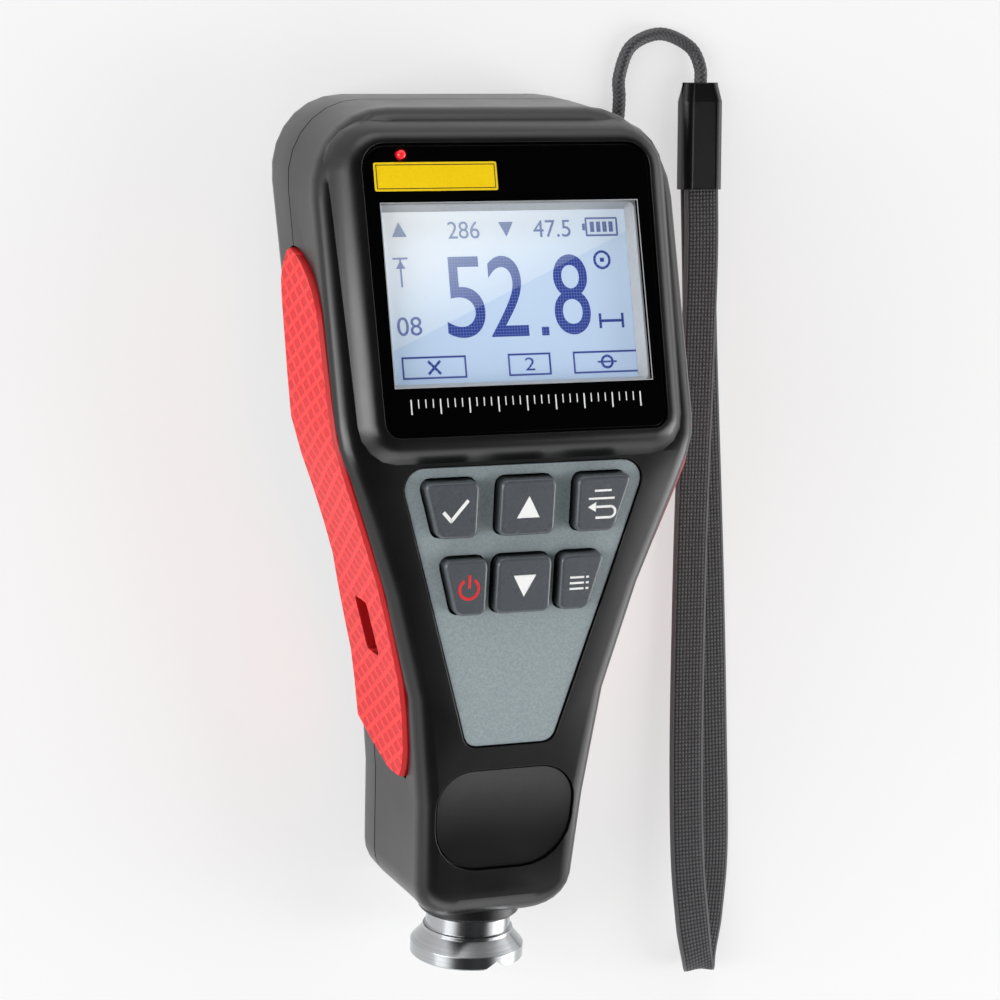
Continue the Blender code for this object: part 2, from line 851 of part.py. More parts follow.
def aperture_outline(margin, radius):
    """Rectangle around the display's aperture, grown by a margin."""
    x = APERTURE_HALF_WIDTH + margin
    y = APERTURE_LENGTH / 2 + margin
    shift = APERTURE_OFFSET
    corners = (
        (-x, y + shift, radius),
        (x, y + shift, radius),
        (x, -y + shift, radius),
        (-x, -y + shift, radius),
    )
    return rounded(corners)


def surround():
    """Raised surround of the display, in the display's frame."""
    levels = [(-step, height) for step, height in SURROUND_STEPS]
    last = SURROUND_STEPS[-1][0]
    levels.append((-last, -SURROUND_DEPTH))
    return prism(window_outline(), levels)


def keypad_half(margin):
    corners = (
        (0.0, KEYPAD_TOP_Y + margin, 0.0),
        (KEYPAD_TOP_HALF + margin, KEYPAD_TOP_Y + margin, KEYPAD_TOP_RADIUS + margin),
        (KEYPAD_BOTTOM_HALF + margin, KEYPAD_BOTTOM_Y - margin, KEYPAD_BOTTOM_RADIUS + margin),
        (0.0, KEYPAD_BOTTOM_Y - margin, 0.0),
    )
    return rounded(corners, (0.0, -0.006, -0.020), closed=False)


def pad_half(margin):
    corners = (
        (0.0, PAD_TOP_Y + margin, 0.0),
        (PAD_TOP_HALF + margin, PAD_TOP_Y + margin, PAD_TOP_RADIUS + margin),
        (PAD_BOTTOM_HALF + margin, PAD_BOTTOM_Y - margin, PAD_BOTTOM_RADIUS + margin),
        (0.0, PAD_BOTTOM_Y - margin, 0.0),
    )
    return rounded(corners, (), closed=False)


def deck_plate(half, top, bottom):
    """A plate that follows the deck, from top to bottom below it."""
    outline = mirrored(half)
    rings = []
    for depth in (top, bottom):
        rings.append([(p.x, p.y, deck_z(p.y) - depth) for p, n in outline])
    return stack(rings)


def key_outlines():
    """Name, outline and centre of each key, in the keypad's frame."""
    half = KEY_LENGTH / 2
    radius = KEY_CORNER
    keys = []
    for row, names, side in (
        (KEY_ROW_1, ("ok", "up", "back"), ROW_1_SIDE_KEY),
        (KEY_ROW_2, ("power", "down", "menu"), ROW_2_SIDE_KEY),
    ):
        inner, top, bottom = side
        middle = MIDDLE_KEY_HALF
        shapes = (
            (-top, -inner, -inner, -bottom),
            (-middle, middle, middle, -middle),
            (inner, top, bottom, inner),
        )
        for name, (x0, x1, x2, x3) in zip(names, shapes):
            corners = (
                (x0, row + half, radius),
                (x1, row + half, radius),
                (x2, row - half, radius),
                (x3, row - half, radius),
            )
            centre = Vector(((x0 + x1 + x2 + x3) / 4, row))
            keys.append((name, rounded(corners), centre))
    return keys


def grip_stations():
    """Places along y of the grip's sections, closer together at its ends."""
    ends = 6
    places = []
    for k in range(ends):
        places.append(GRIP_TOP_Y - GRIP_ARCH * (1 - math.cos(math.pi / 2 * (k + 0.35) / ends)))
    low = GRIP_BOTTOM_Y + GRIP_TIP_LENGTH
    high = GRIP_TOP_Y - GRIP_ARCH
    spans = 12
    places.extend(high + (low - high) * k / spans for k in range(spans))
    for k in reversed(range(ends)):
        share = math.sin(math.pi / 2 * (k + 0.5) / ends)
        places.append(GRIP_BOTTOM_Y + GRIP_TIP_LENGTH * share)
    return places


def grip_edges(y):
    """Heights of the grip's front and rear edge at y."""
    front = deck_z(y) - table_value(GRIP_FRONT_DEPTH, y)
    rear = table_value(GRIP_REAR_EDGE, y)
    top = min(max((GRIP_TOP_Y - y) / GRIP_ARCH, 0.0), 1.0)
    bottom = min(max((y - GRIP_BOTTOM_Y) / GRIP_TIP_LENGTH, 0.0), 1.0)
    arch = math.sqrt(1 - (1 - top) ** 2)
    front = GRIP_TOP_Z + (front - GRIP_TOP_Z) * arch
    rear = GRIP_TOP_Z + (rear - GRIP_TOP_Z) * arch
    rear = GRIP_TIP_Z + (rear - GRIP_TIP_Z) * bottom**0.8
    front = GRIP_TIP_Z + (front - GRIP_TIP_Z) * bottom**0.35
    return front, rear


def grip_solid(side, grow=0.0, floor=None):
    """The grip on one side; grow widens it into its own pocket."""
    bm = bmesh.new()
    proud = GRIP_PROUD + (0.002 if grow else 0.0)
    seat = GRIP_SEAT if floor is None else floor
    edge = GRIP_PROUD if grow else 0.0
    rows = []
    for y in grip_stations():
        front, rear = grip_edges(y)
        front += grow
        rear -= grow
        end = 0.0
        if y > GRIP_TOP_Y - GRIP_ARCH:
            end = grow
        if y < GRIP_BOTTOM_Y + GRIP_TIP_LENGTH:
            end = -grow
        point, normal = side_at(y)
        chamfer = min(GRIP_EDGE, (front - rear) / 4)
        row = []
        for outward, z in (
            (-seat, front),
            (edge + (proud - GRIP_PROUD), front),
            (proud, front - chamfer),
            (proud, rear + chamfer),
            (edge + (proud - GRIP_PROUD), rear),
            (-seat, rear),
        ):
            place = point + normal * outward
            row.append(bm.verts.new((side * place.x, place.y + end, z)))
        rows.append(row)
    for first, second in zip(rows, rows[1:]):
        bridge(bm, first, second)
    bm.faces.new(rows[0])
    bm.faces.new(rows[-1])
    bmesh.ops.recalc_face_normals(bm, faces=bm.faces)
    return bm


def usb_cutter(margin):
    """Box through the left side for the USB plug."""
    outer = half_width(USB_Y, 0.0) + 0.004
    inner = half_width(USB_Y, 0.0) - 0.006
    corners = (
        (-USB_LENGTH / 2 - margin, USB_HEIGHT / 2 + margin, 0.0006),
        (USB_LENGTH / 2 + margin, USB_HEIGHT / 2 + margin, 0.0006),
        (USB_LENGTH / 2 + margin, -USB_HEIGHT / 2 - margin, 0.0006),
        (-USB_LENGTH / 2 - margin, -USB_HEIGHT / 2 - margin, 0.0006),
    )
    bm = prism(rounded(corners), ((0, inner), (0, outer)))
    # Local x runs along the gauge, local y up and local z out to the left
    turn = Matrix(((0, 0, -1, 0), (-1, 0, 0, USB_Y), (0, 1, 0, USB_Z), (0, 0, 0, 1)))
    return moved(bm, turn)


def neck_profile(margin):
    """Profile of the neck ring's outside, grown by a margin."""
    return (
        (0, NECK_RING_BOTTOM_Y - 0.004),
        (NECK_RING_RADIUS + margin, NECK_RING_BOTTOM_Y - 0.004),
        (NECK_RING_RADIUS + margin, NECK_FLANGE_BOTTOM_Y - margin),
        (NECK_RING_FLANGE + margin, NECK_FLANGE_BOTTOM_Y - margin),
        (NECK_RING_FLANGE + margin, NECK_RING_TOP_Y + margin),
        (0, NECK_RING_TOP_Y + margin),
    )


def case_screw_places():
    places = []
    for x, y in (CASE_SCREW_HEAD_PLACE, CASE_SCREW_FOOT_PLACE):
        places.extend(((-x, y), (x, y)))
    return places


def display_board_z():
    """Height of the display board's front face in the display's frame."""
    return -(WINDOW_THICKNESS + GAP + FRAME_DEPTH + GAP + PANEL_THICKNESS + GAP)


def board_post_places():
    x = DISPLAY_BOARD_HALF - BOARD_POST_RADIUS
    low = DISPLAY_BOARD_BOTTOM + BOARD_POST_RADIUS
    return ((-x, low), (x, low))


def screw_hole(x, y):
    """Counterbored hole for a case screw, from the rear."""
    sink = rear_z(y) + SCREW_SINK + 0.001
    head = SCREW_HEAD_RADIUS + GAP
    shank = SCREW_RADIUS + GAP
    low = rear_z(y) - 0.004
    high = parting_z(y) + 0.001
    profile = ((0, low), (head, low), (head, sink), (shank, sink), (shank, high), (0, high))
    bm = turned(profile, SMALL_SEGMENTS)
    return moved(bm, Matrix.Translation((x, y, 0)) @ Matrix.Rotation(math.pi / 2, 4, "X"))


def front_shell(parent):
    display = display_matrix()
    keypad = keypad_matrix()
    steps = [("UNION", moved(surround(), display))]
    for x, y in case_screw_places():
        low = parting_z(y) + GAP
        steps.append(("UNION", post(x, y, low, deck_z(y) - DECK_WALL / 2, BOSS_RADIUS)))
    for x, y in board_post_places():
        rise = post(x, y, display_board_z() + GAP, -0.0040, BOARD_POST_RADIUS)
        steps.append(("UNION", moved(rise, display)))
    recess = prism(window_outline(), ((-GAP, 0.002), (-GAP, -WINDOW_THICKNESS - GAP)))
    steps.append(("DIFFERENCE", moved(recess, display)))
    opening = aperture_outline(FRAME_RIM + GAP, 0.0005)
    steps.append(("DIFFERENCE", moved(prism(opening, ((0, 0.002), (0, -0.009))), display)))
    lamp = post(LAMP_X, LAMP_Y, -0.009, 0.002, LAMP_RADIUS + GAP)
    steps.append(("DIFFERENCE", moved(lamp, display)))
    depth = KEYPAD_RECESS + KEYPAD_THICKNESS + GAP
    steps.append(("DIFFERENCE", deck_plate(keypad_half(GAP), -0.002, depth)))
    for name, outline, centre in key_outlines():
        seat = -KEY_FLANGE - GAP
        levels = ((-GAP, 0.001), (-GAP, -DECK_WALL), (seat, -DECK_WALL), (seat, -0.004))
        steps.append(("DIFFERENCE", moved(prism(outline, levels), keypad)))
    depth = PAD_RECESS + PAD_THICKNESS + GAP
    steps.append(("DIFFERENCE", deck_plate(pad_half(GAP), -0.002, depth)))
    for side in (-1, 1):
        steps.append(("DIFFERENCE", grip_solid(side, GAP, GRIP_SEAT + GAP)))
    steps.append(("DIFFERENCE", usb_cutter(0.0)))
    steps.append(("DIFFERENCE", turned(neck_profile(GAP))))
    for x, y in case_screw_places():
        top = parting_z(y) + SCREW_REACH + GAP
        steps.append(("DIFFERENCE", post(x, y, parting_z(y) - 0.001, top, SCREW_RADIUS + GAP)))
    return piece("front_shell", combined(front_body(), steps), "shell_black", parent)


def door_box(margin, top, bottom, radius):
    """The battery door's outline as a block between two heights."""
    corners = (
        (-DOOR_HALF_WIDTH - margin, DOOR_TOP_Y + margin, radius),
        (DOOR_HALF_WIDTH + margin, DOOR_TOP_Y + margin, radius),
        (DOOR_HALF_WIDTH + margin, DOOR_BOTTOM_Y - margin, radius),
        (-DOOR_HALF_WIDTH - margin, DOOR_BOTTOM_Y - margin, radius),
    )
    return prism(rounded(corners), ((0, top), (0, bottom)))


def door_cutter(top_y, bottom_y, low, high):
    """Room for the door between two places along y, rounded at the door's own ends."""
    x = DOOR_HALF_WIDTH + GAP
    top = DOOR_RADIUS + GAP if top_y > DOOR_TOP_Y else GAP
    bottom = DOOR_RADIUS + GAP if bottom_y < DOOR_BOTTOM_Y else GAP
    corners = ((-x, top_y, top), (x, top_y, top), (x, bottom_y, bottom), (-x, bottom_y, bottom))
    return prism(rounded(corners), ((0, low), (0, high)))


def bay_bottom_y():
    """Outside of the battery tray's lower end."""
    return CELL_TOP_Y - CELL_LENGTH - 2 * GAP - CONTACT_THICKNESS - TRAY_WALL


def bay_top_y():
    """Outside of the battery tray's upper end."""
    return CELL_TOP_Y + 2 * GAP + CONTACT_THICKNESS + TRAY_WALL


def rear_shell(parent, land):
    bay = bay_matrix()
    pad_start = bay_bottom_y() - GAP
    pad_end = DOOR_BOTTOM_Y - 0.0007
    pad_top = WALL + SEAT_PAD_THICKNESS
    low = (-DOOR_HALF_WIDTH - 0.0013, pad_end, WALL / 2)
    high = (DOOR_HALF_WIDTH + 0.0013, pad_start, pad_top)
    steps = [("UNION", moved(box(low, high), bay))]
    for x, y in case_screw_places():
        steps.append(("UNION", post(x, y, rear_z(y) + WALL / 2, parting_z(y), BOSS_RADIUS)))
    eyelet = eyelet_matrix()
    inner = HEAD_RADIUS - SIDE_INSET - WALL - GAP
    back = HEAD_RADIUS - REAR_DRAFT - EYELET_DEPTH
    half = EYELET_HALF_WIDTH + EYELET_WALL
    low = (back - EYELET_WALL, -half, -EYELET_ABOVE_REAR + WALL / 2)
    roof = EYELET_ROOF + EYELET_WALL / 2
    steps.append(("UNION", moved(box(low, (inner, half, roof)), eyelet)))
    below = -0.002
    seat = door_cutter(pad_start + 0.001, DOOR_BOTTOM_Y - GAP, below, DOOR_THICKNESS + GAP)
    mouth = door_cutter(DOOR_TOP_Y + GAP, pad_start, below, WALL + 0.001)
    screw_way = post(0, DOOR_SCREW_Y, DOOR_THICKNESS, pad_top + 0.001, SCREW_RADIUS + GAP)
    for cutter in (seat, mouth, screw_way):
        steps.append(("DIFFERENCE", moved(cutter, bay)))
    notch_low = (back, -EYELET_HALF_WIDTH, -0.008)
    notch_high = (HEAD_RADIUS + 0.003, EYELET_HALF_WIDTH, EYELET_ROOF)
    steps.append(("DIFFERENCE", moved(box(notch_low, notch_high), eyelet)))
    steps.append(("DIFFERENCE", moved(eyelet_bar(GAP), eyelet)))
    for side in (-1, 1):
        steps.append(("DIFFERENCE", grip_solid(side, GAP, GRIP_SEAT + GAP)))
    steps.append(("DIFFERENCE", turned(neck_profile(GAP))))
    for x, y in case_screw_places():
        steps.append(("DIFFERENCE", screw_hole(x, y)))
    steps.append(("DIFFERENCE", land))
    return piece("rear_shell", combined(rear_body(), steps), "shell_black", parent)


def rest_pose():
    """Rotation about x and lift that lay the gauge on its back with z = 0 on the table."""
    profile = []
    for k in range(1, 200):
        y = FOOT_Y + (HEAD_TOP_Y - FOOT_Y) * k / 200
        profile.append((y, rear_edge_z(y)))
    head = [p for p in profile if p[0] > REAR_HEAD_Y]
    handle = [p for p in profile if p[0] <= REAR_HANDLE_Y]
    angle = 0.0
    for _ in range(12):
        lowest = lambda p: p[0] * math.sin(angle) + p[1] * math.cos(angle)
        a = min(handle, key=lowest)
        b = min(head, key=lowest)
        angle = math.atan2(a[1] - b[1], b[0] - a[0])
    lift = -min(map(lowest, profile)) - REST_LAND_DEPTH
    return angle, lift


def rear_edge_z(y):
    """Rear surface in the middle of the gauge, rounded at its two ends."""
    reach = min(HEAD_TOP_Y - y, y - FOOT_Y) - REAR_DRAFT
    radius = rear_round(y)
    if reach >= radius:
        return rear_z(y)
    share = max(min(1 - reach / radius, 1.0), 0.0)
    return rear_z(y) + 1.1 * radius * (1 - math.sqrt(1 - share * share))


def gauge_matrix():
    angle, lift = rest_pose()
    return Matrix.Translation((0, 0, lift)) @ Matrix.Rotation(angle, 4, "X")


def rest_land():
    """What the table's plane takes off the rear edges, in the gauge's frame."""
    slab = box((-0.06, -0.12, -0.02), (0.06, 0.10, 0.0))
    return moved(slab, gauge_matrix().inverted())


def eyelet_bar(margin):
    """The lanyard bar, in the eyelet's frame."""
    reach = EYELET_HALF_WIDTH + EYELET_WALL / 2 + margin
    radius = EYELET_BAR_RADIUS + margin
    bm = turned(((0, -reach), (radius, -reach), (radius, reach), (0, reach)), SMALL_SEGMENTS)
    return moved(bm, Matrix.Translation((bar_x(), 0, 0)))


def bar_x():
    return HEAD_RADIUS - EYELET_BAR_INSET


# Display


def display_window(parent):
    outline = window_outline()
    edge = 0.00015
    plate = prism(outline, ((edge, 0.0), (0.0, -edge), (0.0, -WINDOW_THICKNESS)))
    hole = post(LAMP_X, LAMP_Y, -0.002, 0.002, LAMP_RADIUS + GAP)
    return piece("display_window", combined(plate, [("DIFFERENCE", hole)]), "window_black", parent)


def display_frame(parent):
    top = -WINDOW_THICKNESS - GAP
    bottom = top - FRAME_DEPTH
    outer = prism(aperture_outline(FRAME_RIM, 0.0004), ((0, top), (0, bottom)))
    levels = ((-FRAME_BEVEL, top + FRAME_DEPTH), (FRAME_BEVEL, bottom))
    tunnel = prism(aperture_outline(0.0, 0.0010), levels)
    low = prism(aperture_outline(-FRAME_BEVEL, 0.0004), ((0, bottom + 0.0002), (0, bottom - 0.001)))
    steps = [("DIFFERENCE", tunnel), ("DIFFERENCE", low)]
    return piece("display_frame", combined(outer, steps), "frame_grey", parent)


def lcd_panel(parent):
    top = -WINDOW_THICKNESS - GAP - FRAME_DEPTH - GAP
    outline = aperture_outline(FRAME_RIM, 0.0004)
    return piece(
        "lcd_panel",
        prism(outline, ((0, top), (0, top - PANEL_THICKNESS))),
        "display_blue",
        parent,
    )


def status_led(parent):
    low = -WINDOW_THICKNESS - 0.0024
    base = LAMP_RADIUS * 0.15
    profile = [(0, low), (LAMP_RADIUS, low)]
    for k in range(5):
        angle = math.pi / 2 * k / 4
        radius = LAMP_RADIUS * math.cos(angle) if k < 4 else 0
        profile.append((radius, base + LAMP_RADIUS * 0.7 * math.sin(angle)))
    bm = turned(profile, SMALL_SEGMENTS)
    place = Matrix.Translation((LAMP_X, LAMP_Y, 0)) @ Matrix.Rotation(math.pi / 2, 4, "X")
    return piece("status_led", moved(bm, place), "lamp_red", parent)


def display_board(parent):
    top = display_board_z()
    low = (-DISPLAY_BOARD_HALF, DISPLAY_BOARD_BOTTOM, top - DISPLAY_BOARD_THICKNESS)
    high = (DISPLAY_BOARD_HALF, DISPLAY_BOARD_TOP, top)
    return piece("display_board", box(low, high), "board_green", parent)


def buzzer(parent):
    top = display_board_z() - DISPLAY_BOARD_THICKNESS - GAP
    bm = post(-0.012, 0.004, top - BUZZER_HEIGHT, top, BUZZER_RADIUS)
    return piece("buzzer", bm, "inner_black", parent)


# Keypad


def keypad_panel(parent):
    plate = deck_plate(keypad_half(0.0), KEYPAD_RECESS, KEYPAD_RECESS + KEYPAD_THICKNESS)
    steps = []
    for name, outline, centre in key_outlines():
        hole = prism(outline, ((-GAP, 0.003), (-GAP, -0.004)))
        steps.append(("DIFFERENCE", moved(hole, keypad_matrix())))
    return piece("keypad_panel", combined(plate, steps), "panel_grey", parent)


def dome_top():
    """Height of the key mat's domes in the gauge's frame."""
    return stem_bottom() - KEY_TRAVEL - GAP


def stem_bottom():
    """Height of the key stems' ends in the gauge's frame."""
    return HANDLE_DECK_Z - DECK_WALL - 0.0036


def key(name, outline, centre, parent):
    flange_top = -DECK_WALL - GAP
    flange_bottom = flange_top - KEY_FLANGE_THICKNESS
    top = KEY_HEIGHT - KEYPAD_RECESS
    levels = (
        (-KEY_FLANGE, flange_bottom),
        (-KEY_FLANGE, flange_top),
        (0.0, flange_top),
        (0.0, top - KEY_CHAMFER),
        (KEY_CHAMFER * 0.35, top - KEY_CHAMFER * 0.35),
        (KEY_CHAMFER, top),
    )
    rings = [flat_ring(outline, inset, z) for inset, z in levels]
    stem = []
    for x, y, _ in rings[0]:
        ray = (Vector((x, y)) - centre).normalized() * KEY_STEM_RADIUS + centre
        stem.append(ray)
    low = stem_bottom() - HANDLE_DECK_Z
    rings.insert(0, [(p.x, p.y, flange_bottom) for p in stem])
    rings.insert(0, [(p.x, p.y, low) for p in stem])
    bm = stack(rings, cap=None)
    bm.transform(Matrix.Translation((-centre.x, -centre.y, 0)))
    return piece("key_" + name, bm, "key_grey", parent, (centre.x, centre.y, 0))


def thumb_pad(parent):
    plate = deck_plate(pad_half(0.0), PAD_RECESS, PAD_RECESS + PAD_THICKNESS)
    return piece("thumb_pad", plate, "pad_black", parent)


def key_mat(parent):
    low = MAIN_BOARD_Z + BOARD_THICKNESS + GAP
    high = low + MAT_THICKNESS
    corners = (
        (-MAT_TOP_HALF, MAT_TOP_Y, 0.002),
        (MAT_TOP_HALF, MAT_TOP_Y, 0.002),
        (MAT_BOTTOM_HALF, MAT_BOTTOM_Y, 0.002),
        (-MAT_BOTTOM_HALF, MAT_BOTTOM_Y, 0.002),
    )
    steps = []
    for name, outline, centre in key_outlines():
        place = keypad_matrix() @ Vector((centre.x, centre.y, 0))
        dome = post(place.x, place.y, high - 0.0004, dome_top(), DOME_RADIUS, DOME_TOP_RADIUS)
        steps.append(("UNION", dome))
    sheet = prism(rounded(corners), ((0, low), (0, high)))
    return piece("key_mat", combined(sheet, steps), "mat_grey", parent)


# Inside of the handle


def cell_z():
    """Height of the cells' axes over the rear surface, in the bay's frame."""
    return DOOR_THICKNESS + BATTERY_GAP + CELL_RADIUS


def cell_x():
    return CELL_RADIUS + BATTERY_GAP / 2


def battery_cell(name, side, parent):
    ends = (CELL_TOP_Y, CELL_TOP_Y - CELL_LENGTH)
    nub_end, flat_end = ends if side < 0 else ends[::-1]
    step = CELL_NUB_LENGTH if nub_end > flat_end else -CELL_NUB_LENGTH
    edge = 0.0004 if nub_end > flat_end else -0.0004
    profile = (
        (0, flat_end),
        (CELL_RADIUS - abs(edge), flat_end),
        (CELL_RADIUS, flat_end + edge),
        (CELL_RADIUS, nub_end - step - edge),
        (CELL_RADIUS - abs(edge), nub_end - step),
        (CELL_NUB_RADIUS, nub_end - step),
        (CELL_NUB_RADIUS, nub_end),
        (0, nub_end),
    )
    bm = turned(profile, 20)
    return piece(name, bm, "cell_blue", parent, (side * cell_x(), 0, cell_z()))


def battery_tray(parent):
    """Tray over the cells; its four posts reach up to the main board."""
    bay = bay_matrix()
    inner = 2 * CELL_RADIUS + BATTERY_GAP * 1.5
    outer = inner + TRAY_WALL
    low = WALL + GAP
    ceiling = cell_z() + CELL_RADIUS + BATTERY_GAP
    top = ceiling + TRAY_FLOOR
    block = box((-outer, bay_bottom_y(), low), (outer, bay_top_y(), top))
    inside_low = (-inner, bay_bottom_y() + TRAY_WALL, low - 0.001)
    inside_high = (inner, bay_top_y() - TRAY_WALL, ceiling)
    steps = [("DIFFERENCE", moved(box(inside_low, inside_high), bay))]
    for x in (-outer + 0.0016, outer - 0.0016):
        for y in (bay_bottom_y() + 0.0016, bay_top_y() - 0.0016):
            base = bay @ Vector((x, y, top))
            rise = post(base.x, base.y, base.z - TRAY_FLOOR / 2, MAIN_BOARD_Z - GAP, TRAY_POST_RADIUS)
            steps.append(("UNION", rise))
    return piece("battery_tray", combined(moved(block, bay), steps), "inner_black", parent)


def battery_contacts(parent):
    """One plate joins both cells at their lower ends; each has its own at the upper end."""
    half = CONTACT_SIZE / 2
    x = cell_x()
    upper = CELL_TOP_Y + GAP
    lower = CELL_TOP_Y - CELL_LENGTH - GAP - CONTACT_THICKNESS
    for name, left, right, y in (
        ("contact_bridge", -x - half, x + half, lower),
        ("contact_plus", -x - half, -x + half, upper),
        ("contact_minus", x - half, x + half, upper),
    ):
        low = (left, y, cell_z() - half)
        high = (right, y + CONTACT_THICKNESS, cell_z() + half)
        piece(name, box(low, high), "contact_metal", parent)


def battery_door(parent):
    """Door flush with the rear surface; its hook reaches in over the shell's edge."""
    top = DOOR_THICKNESS
    plate = door_box(0.0, 0.0, top, DOOR_RADIUS)
    hook_z = WALL + GAP
    web_low = (-DOOR_HOOK_HALF, bay_top_y() + GAP, top - 0.0005)
    web_high = (DOOR_HOOK_HALF, DOOR_TOP_Y - GAP, hook_z + DOOR_HOOK_THICKNESS)
    hook_low = (-DOOR_HOOK_HALF, bay_top_y() + GAP, hook_z)
    hook_high = (DOOR_HOOK_HALF, DOOR_HOOK_REACH, hook_z + DOOR_HOOK_THICKNESS)
    head = post(0, DOOR_SCREW_Y, -0.001, DOOR_SCREW_SINK + GAP, SCREW_HEAD_RADIUS + GAP)
    shank = post(0, DOOR_SCREW_Y, DOOR_SCREW_SINK, top + 0.001, SCREW_RADIUS + GAP)
    steps = [
        ("UNION", box(web_low, web_high)),
        ("UNION", box(hook_low, hook_high)),
        ("DIFFERENCE", head),
        ("DIFFERENCE", shank),
    ]
    return piece("battery_door", combined(plate, steps), "shell_black", parent)


def screw(x, y, head_low, head_high, tip):
    """A screw whose head faces the rear; its shank runs up to the tip."""
    profile = (
        (0, head_low),
        (SCREW_HEAD_RADIUS, head_low),
        (SCREW_HEAD_RADIUS, head_high),
        (SCREW_RADIUS, head_high),
        (SCREW_RADIUS, tip),
        (0, tip),
    )
    bm = turned(profile, SMALL_SEGMENTS)
    turn = Matrix.Translation((x, y, 0)) @ Matrix.Rotation(math.pi / 2, 4, "X")
    slot = box((x - 0.0013, y - 0.00025, head_low - 0.001), (x + 0.0013, y + 0.00025, head_low + 0.0004))
    cross = box((x - 0.00025, y - 0.0013, head_low - 0.001), (x + 0.00025, y + 0.0013, head_low + 0.0004))
    return combined(moved(bm, turn), [("DIFFERENCE", slot), ("DIFFERENCE", cross)])


def door_screw(parent):
    tip = WALL + SEAT_PAD_THICKNESS - 0.0004
    bm = screw(0, DOOR_SCREW_Y, 0.0001, DOOR_SCREW_SINK, tip)
    return piece("door_screw", bm, "screw_steel", parent)


def case_screws(parent):
    names = ("case_screw_a", "case_screw_b", "case_screw_c", "case_screw_d")
    for name, (x, y) in zip(names, case_screw_places()):
        high = rear_z(y) + SCREW_SINK + 0.001 - GAP
        tip = parting_z(y) + SCREW_REACH
        piece(name, screw(x, y, high - SCREW_HEAD_HEIGHT, high, tip), "screw_steel", parent)


def main_board(parent):
    low = MAIN_BOARD_Z
    places = (0.0070, 0.0, -0.006, -0.012, -0.018, -0.024, -0.030, -0.036, -0.044, -0.0552)
    right = []
    for k, y in enumerate(places):
        y = BOARD_TOP_Y if k == 0 else BOARD_BOTTOM_Y if k == len(places) - 1 else y
        right.append((min(half_width(y, BOARD_MARGIN), BOARD_HALF_LIMIT), y))
    outline = right + [(-x, y) for x, y in reversed(right)]
    rings = [[(x, y, z) for x, y in outline] for z in (low, low + BOARD_THICKNESS)]
    return piece("main_board", stack(rings), "board_green", parent)


def usb_socket(parent):
    """Metal socket under the main board; its mouth reaches into the opening in the side."""
    near = USB_Y - USB_LENGTH / 2
    inside = half_width(near, SIDE_INSET + WALL) - GAP
    mouth = half_width(near, SIDE_INSET + GAP)
    back = inside - USB_SOCKET_DEPTH
    wall = USB_SOCKET_WALL
    y = USB_LENGTH / 2 - GAP
    low = USB_Z - USB_HEIGHT / 2 + GAP
    high = USB_Z + USB_HEIGHT / 2 - GAP
    body = box((-inside, USB_Y - y, low), (-back, USB_Y + y, MAIN_BOARD_Z - GAP))
    mouth_box = box((-mouth, USB_Y - y, low), (-inside + wall, USB_Y + y, high))
    room_low = (-mouth - wall, USB_Y - y + wall, low + wall)
    room_high = (-back - wall, USB_Y + y - wall, high - wall)
    tongue_low = (-mouth + 2 * wall, USB_Y - y + 3 * wall, USB_Z - wall)
    tongue_high = (-back - wall / 2, USB_Y + y - 3 * wall, USB_Z + wall)
    steps = [
        ("UNION", mouth_box),
        ("DIFFERENCE", box(room_low, room_high)),
        ("UNION", box(tongue_low, tongue_high)),
    ]
    return piece("usb_socket", combined(body, steps), "screw_steel", parent)


def ribbon_cable(parent):
    """Flat cable from the display board's underside to the main board."""
    display = display_matrix()
    under = display_board_z() - DISPLAY_BOARD_THICKNESS - GAP - RIBBON_THICKNESS / 2
    first = display @ Vector((0, DISPLAY_BOARD_BOTTOM + 0.004, under))
    second = display @ Vector((0, DISPLAY_BOARD_BOTTOM + 0.001, under))
    board = MAIN_BOARD_Z + BOARD_THICKNESS + GAP + RIBBON_THICKNESS / 2
    last = Vector((0, BOARD_TOP_Y - 0.0035, board))
    before = Vector((0, BOARD_TOP_Y - 0.0005, board))
    path = smooth_route([first, second, before, last], 5)

    def section(i, tangent):
        across = Vector((1, 0, 0))
        up = across.cross(tangent).normalized() * RIBBON_THICKNESS / 2
        side = across * RIBBON_HALF_WIDTH
        return (side + up, -side + up, -side - up, side - up)

    return piece("ribbon_cable", swept(path, section), "mat_grey", parent)


# Probe


def probe_neck(parent):
    bore = COLLAR_RADIUS + GAP
    edge = 0.0005
    profile = (
        (bore, NECK_RING_BOTTOM_Y),
        (NECK_RING_RADIUS - edge, NECK_RING_BOTTOM_Y),
        (NECK_RING_RADIUS, NECK_RING_BOTTOM_Y + edge),
        (NECK_RING_RADIUS, NECK_FLANGE_BOTTOM_Y),
        (NECK_RING_FLANGE, NECK_FLANGE_BOTTOM_Y),
        (NECK_RING_FLANGE, NECK_RING_TOP_Y),
        (bore, NECK_RING_TOP_Y),
    )
    return piece("probe_neck", turned(profile, closed=True), "inner_black", parent)


def collar_top_y():
    """Top of the steel collar's inner flange."""
    return NECK_RING_TOP_Y + GAP + COLLAR_FLANGE_THICKNESS


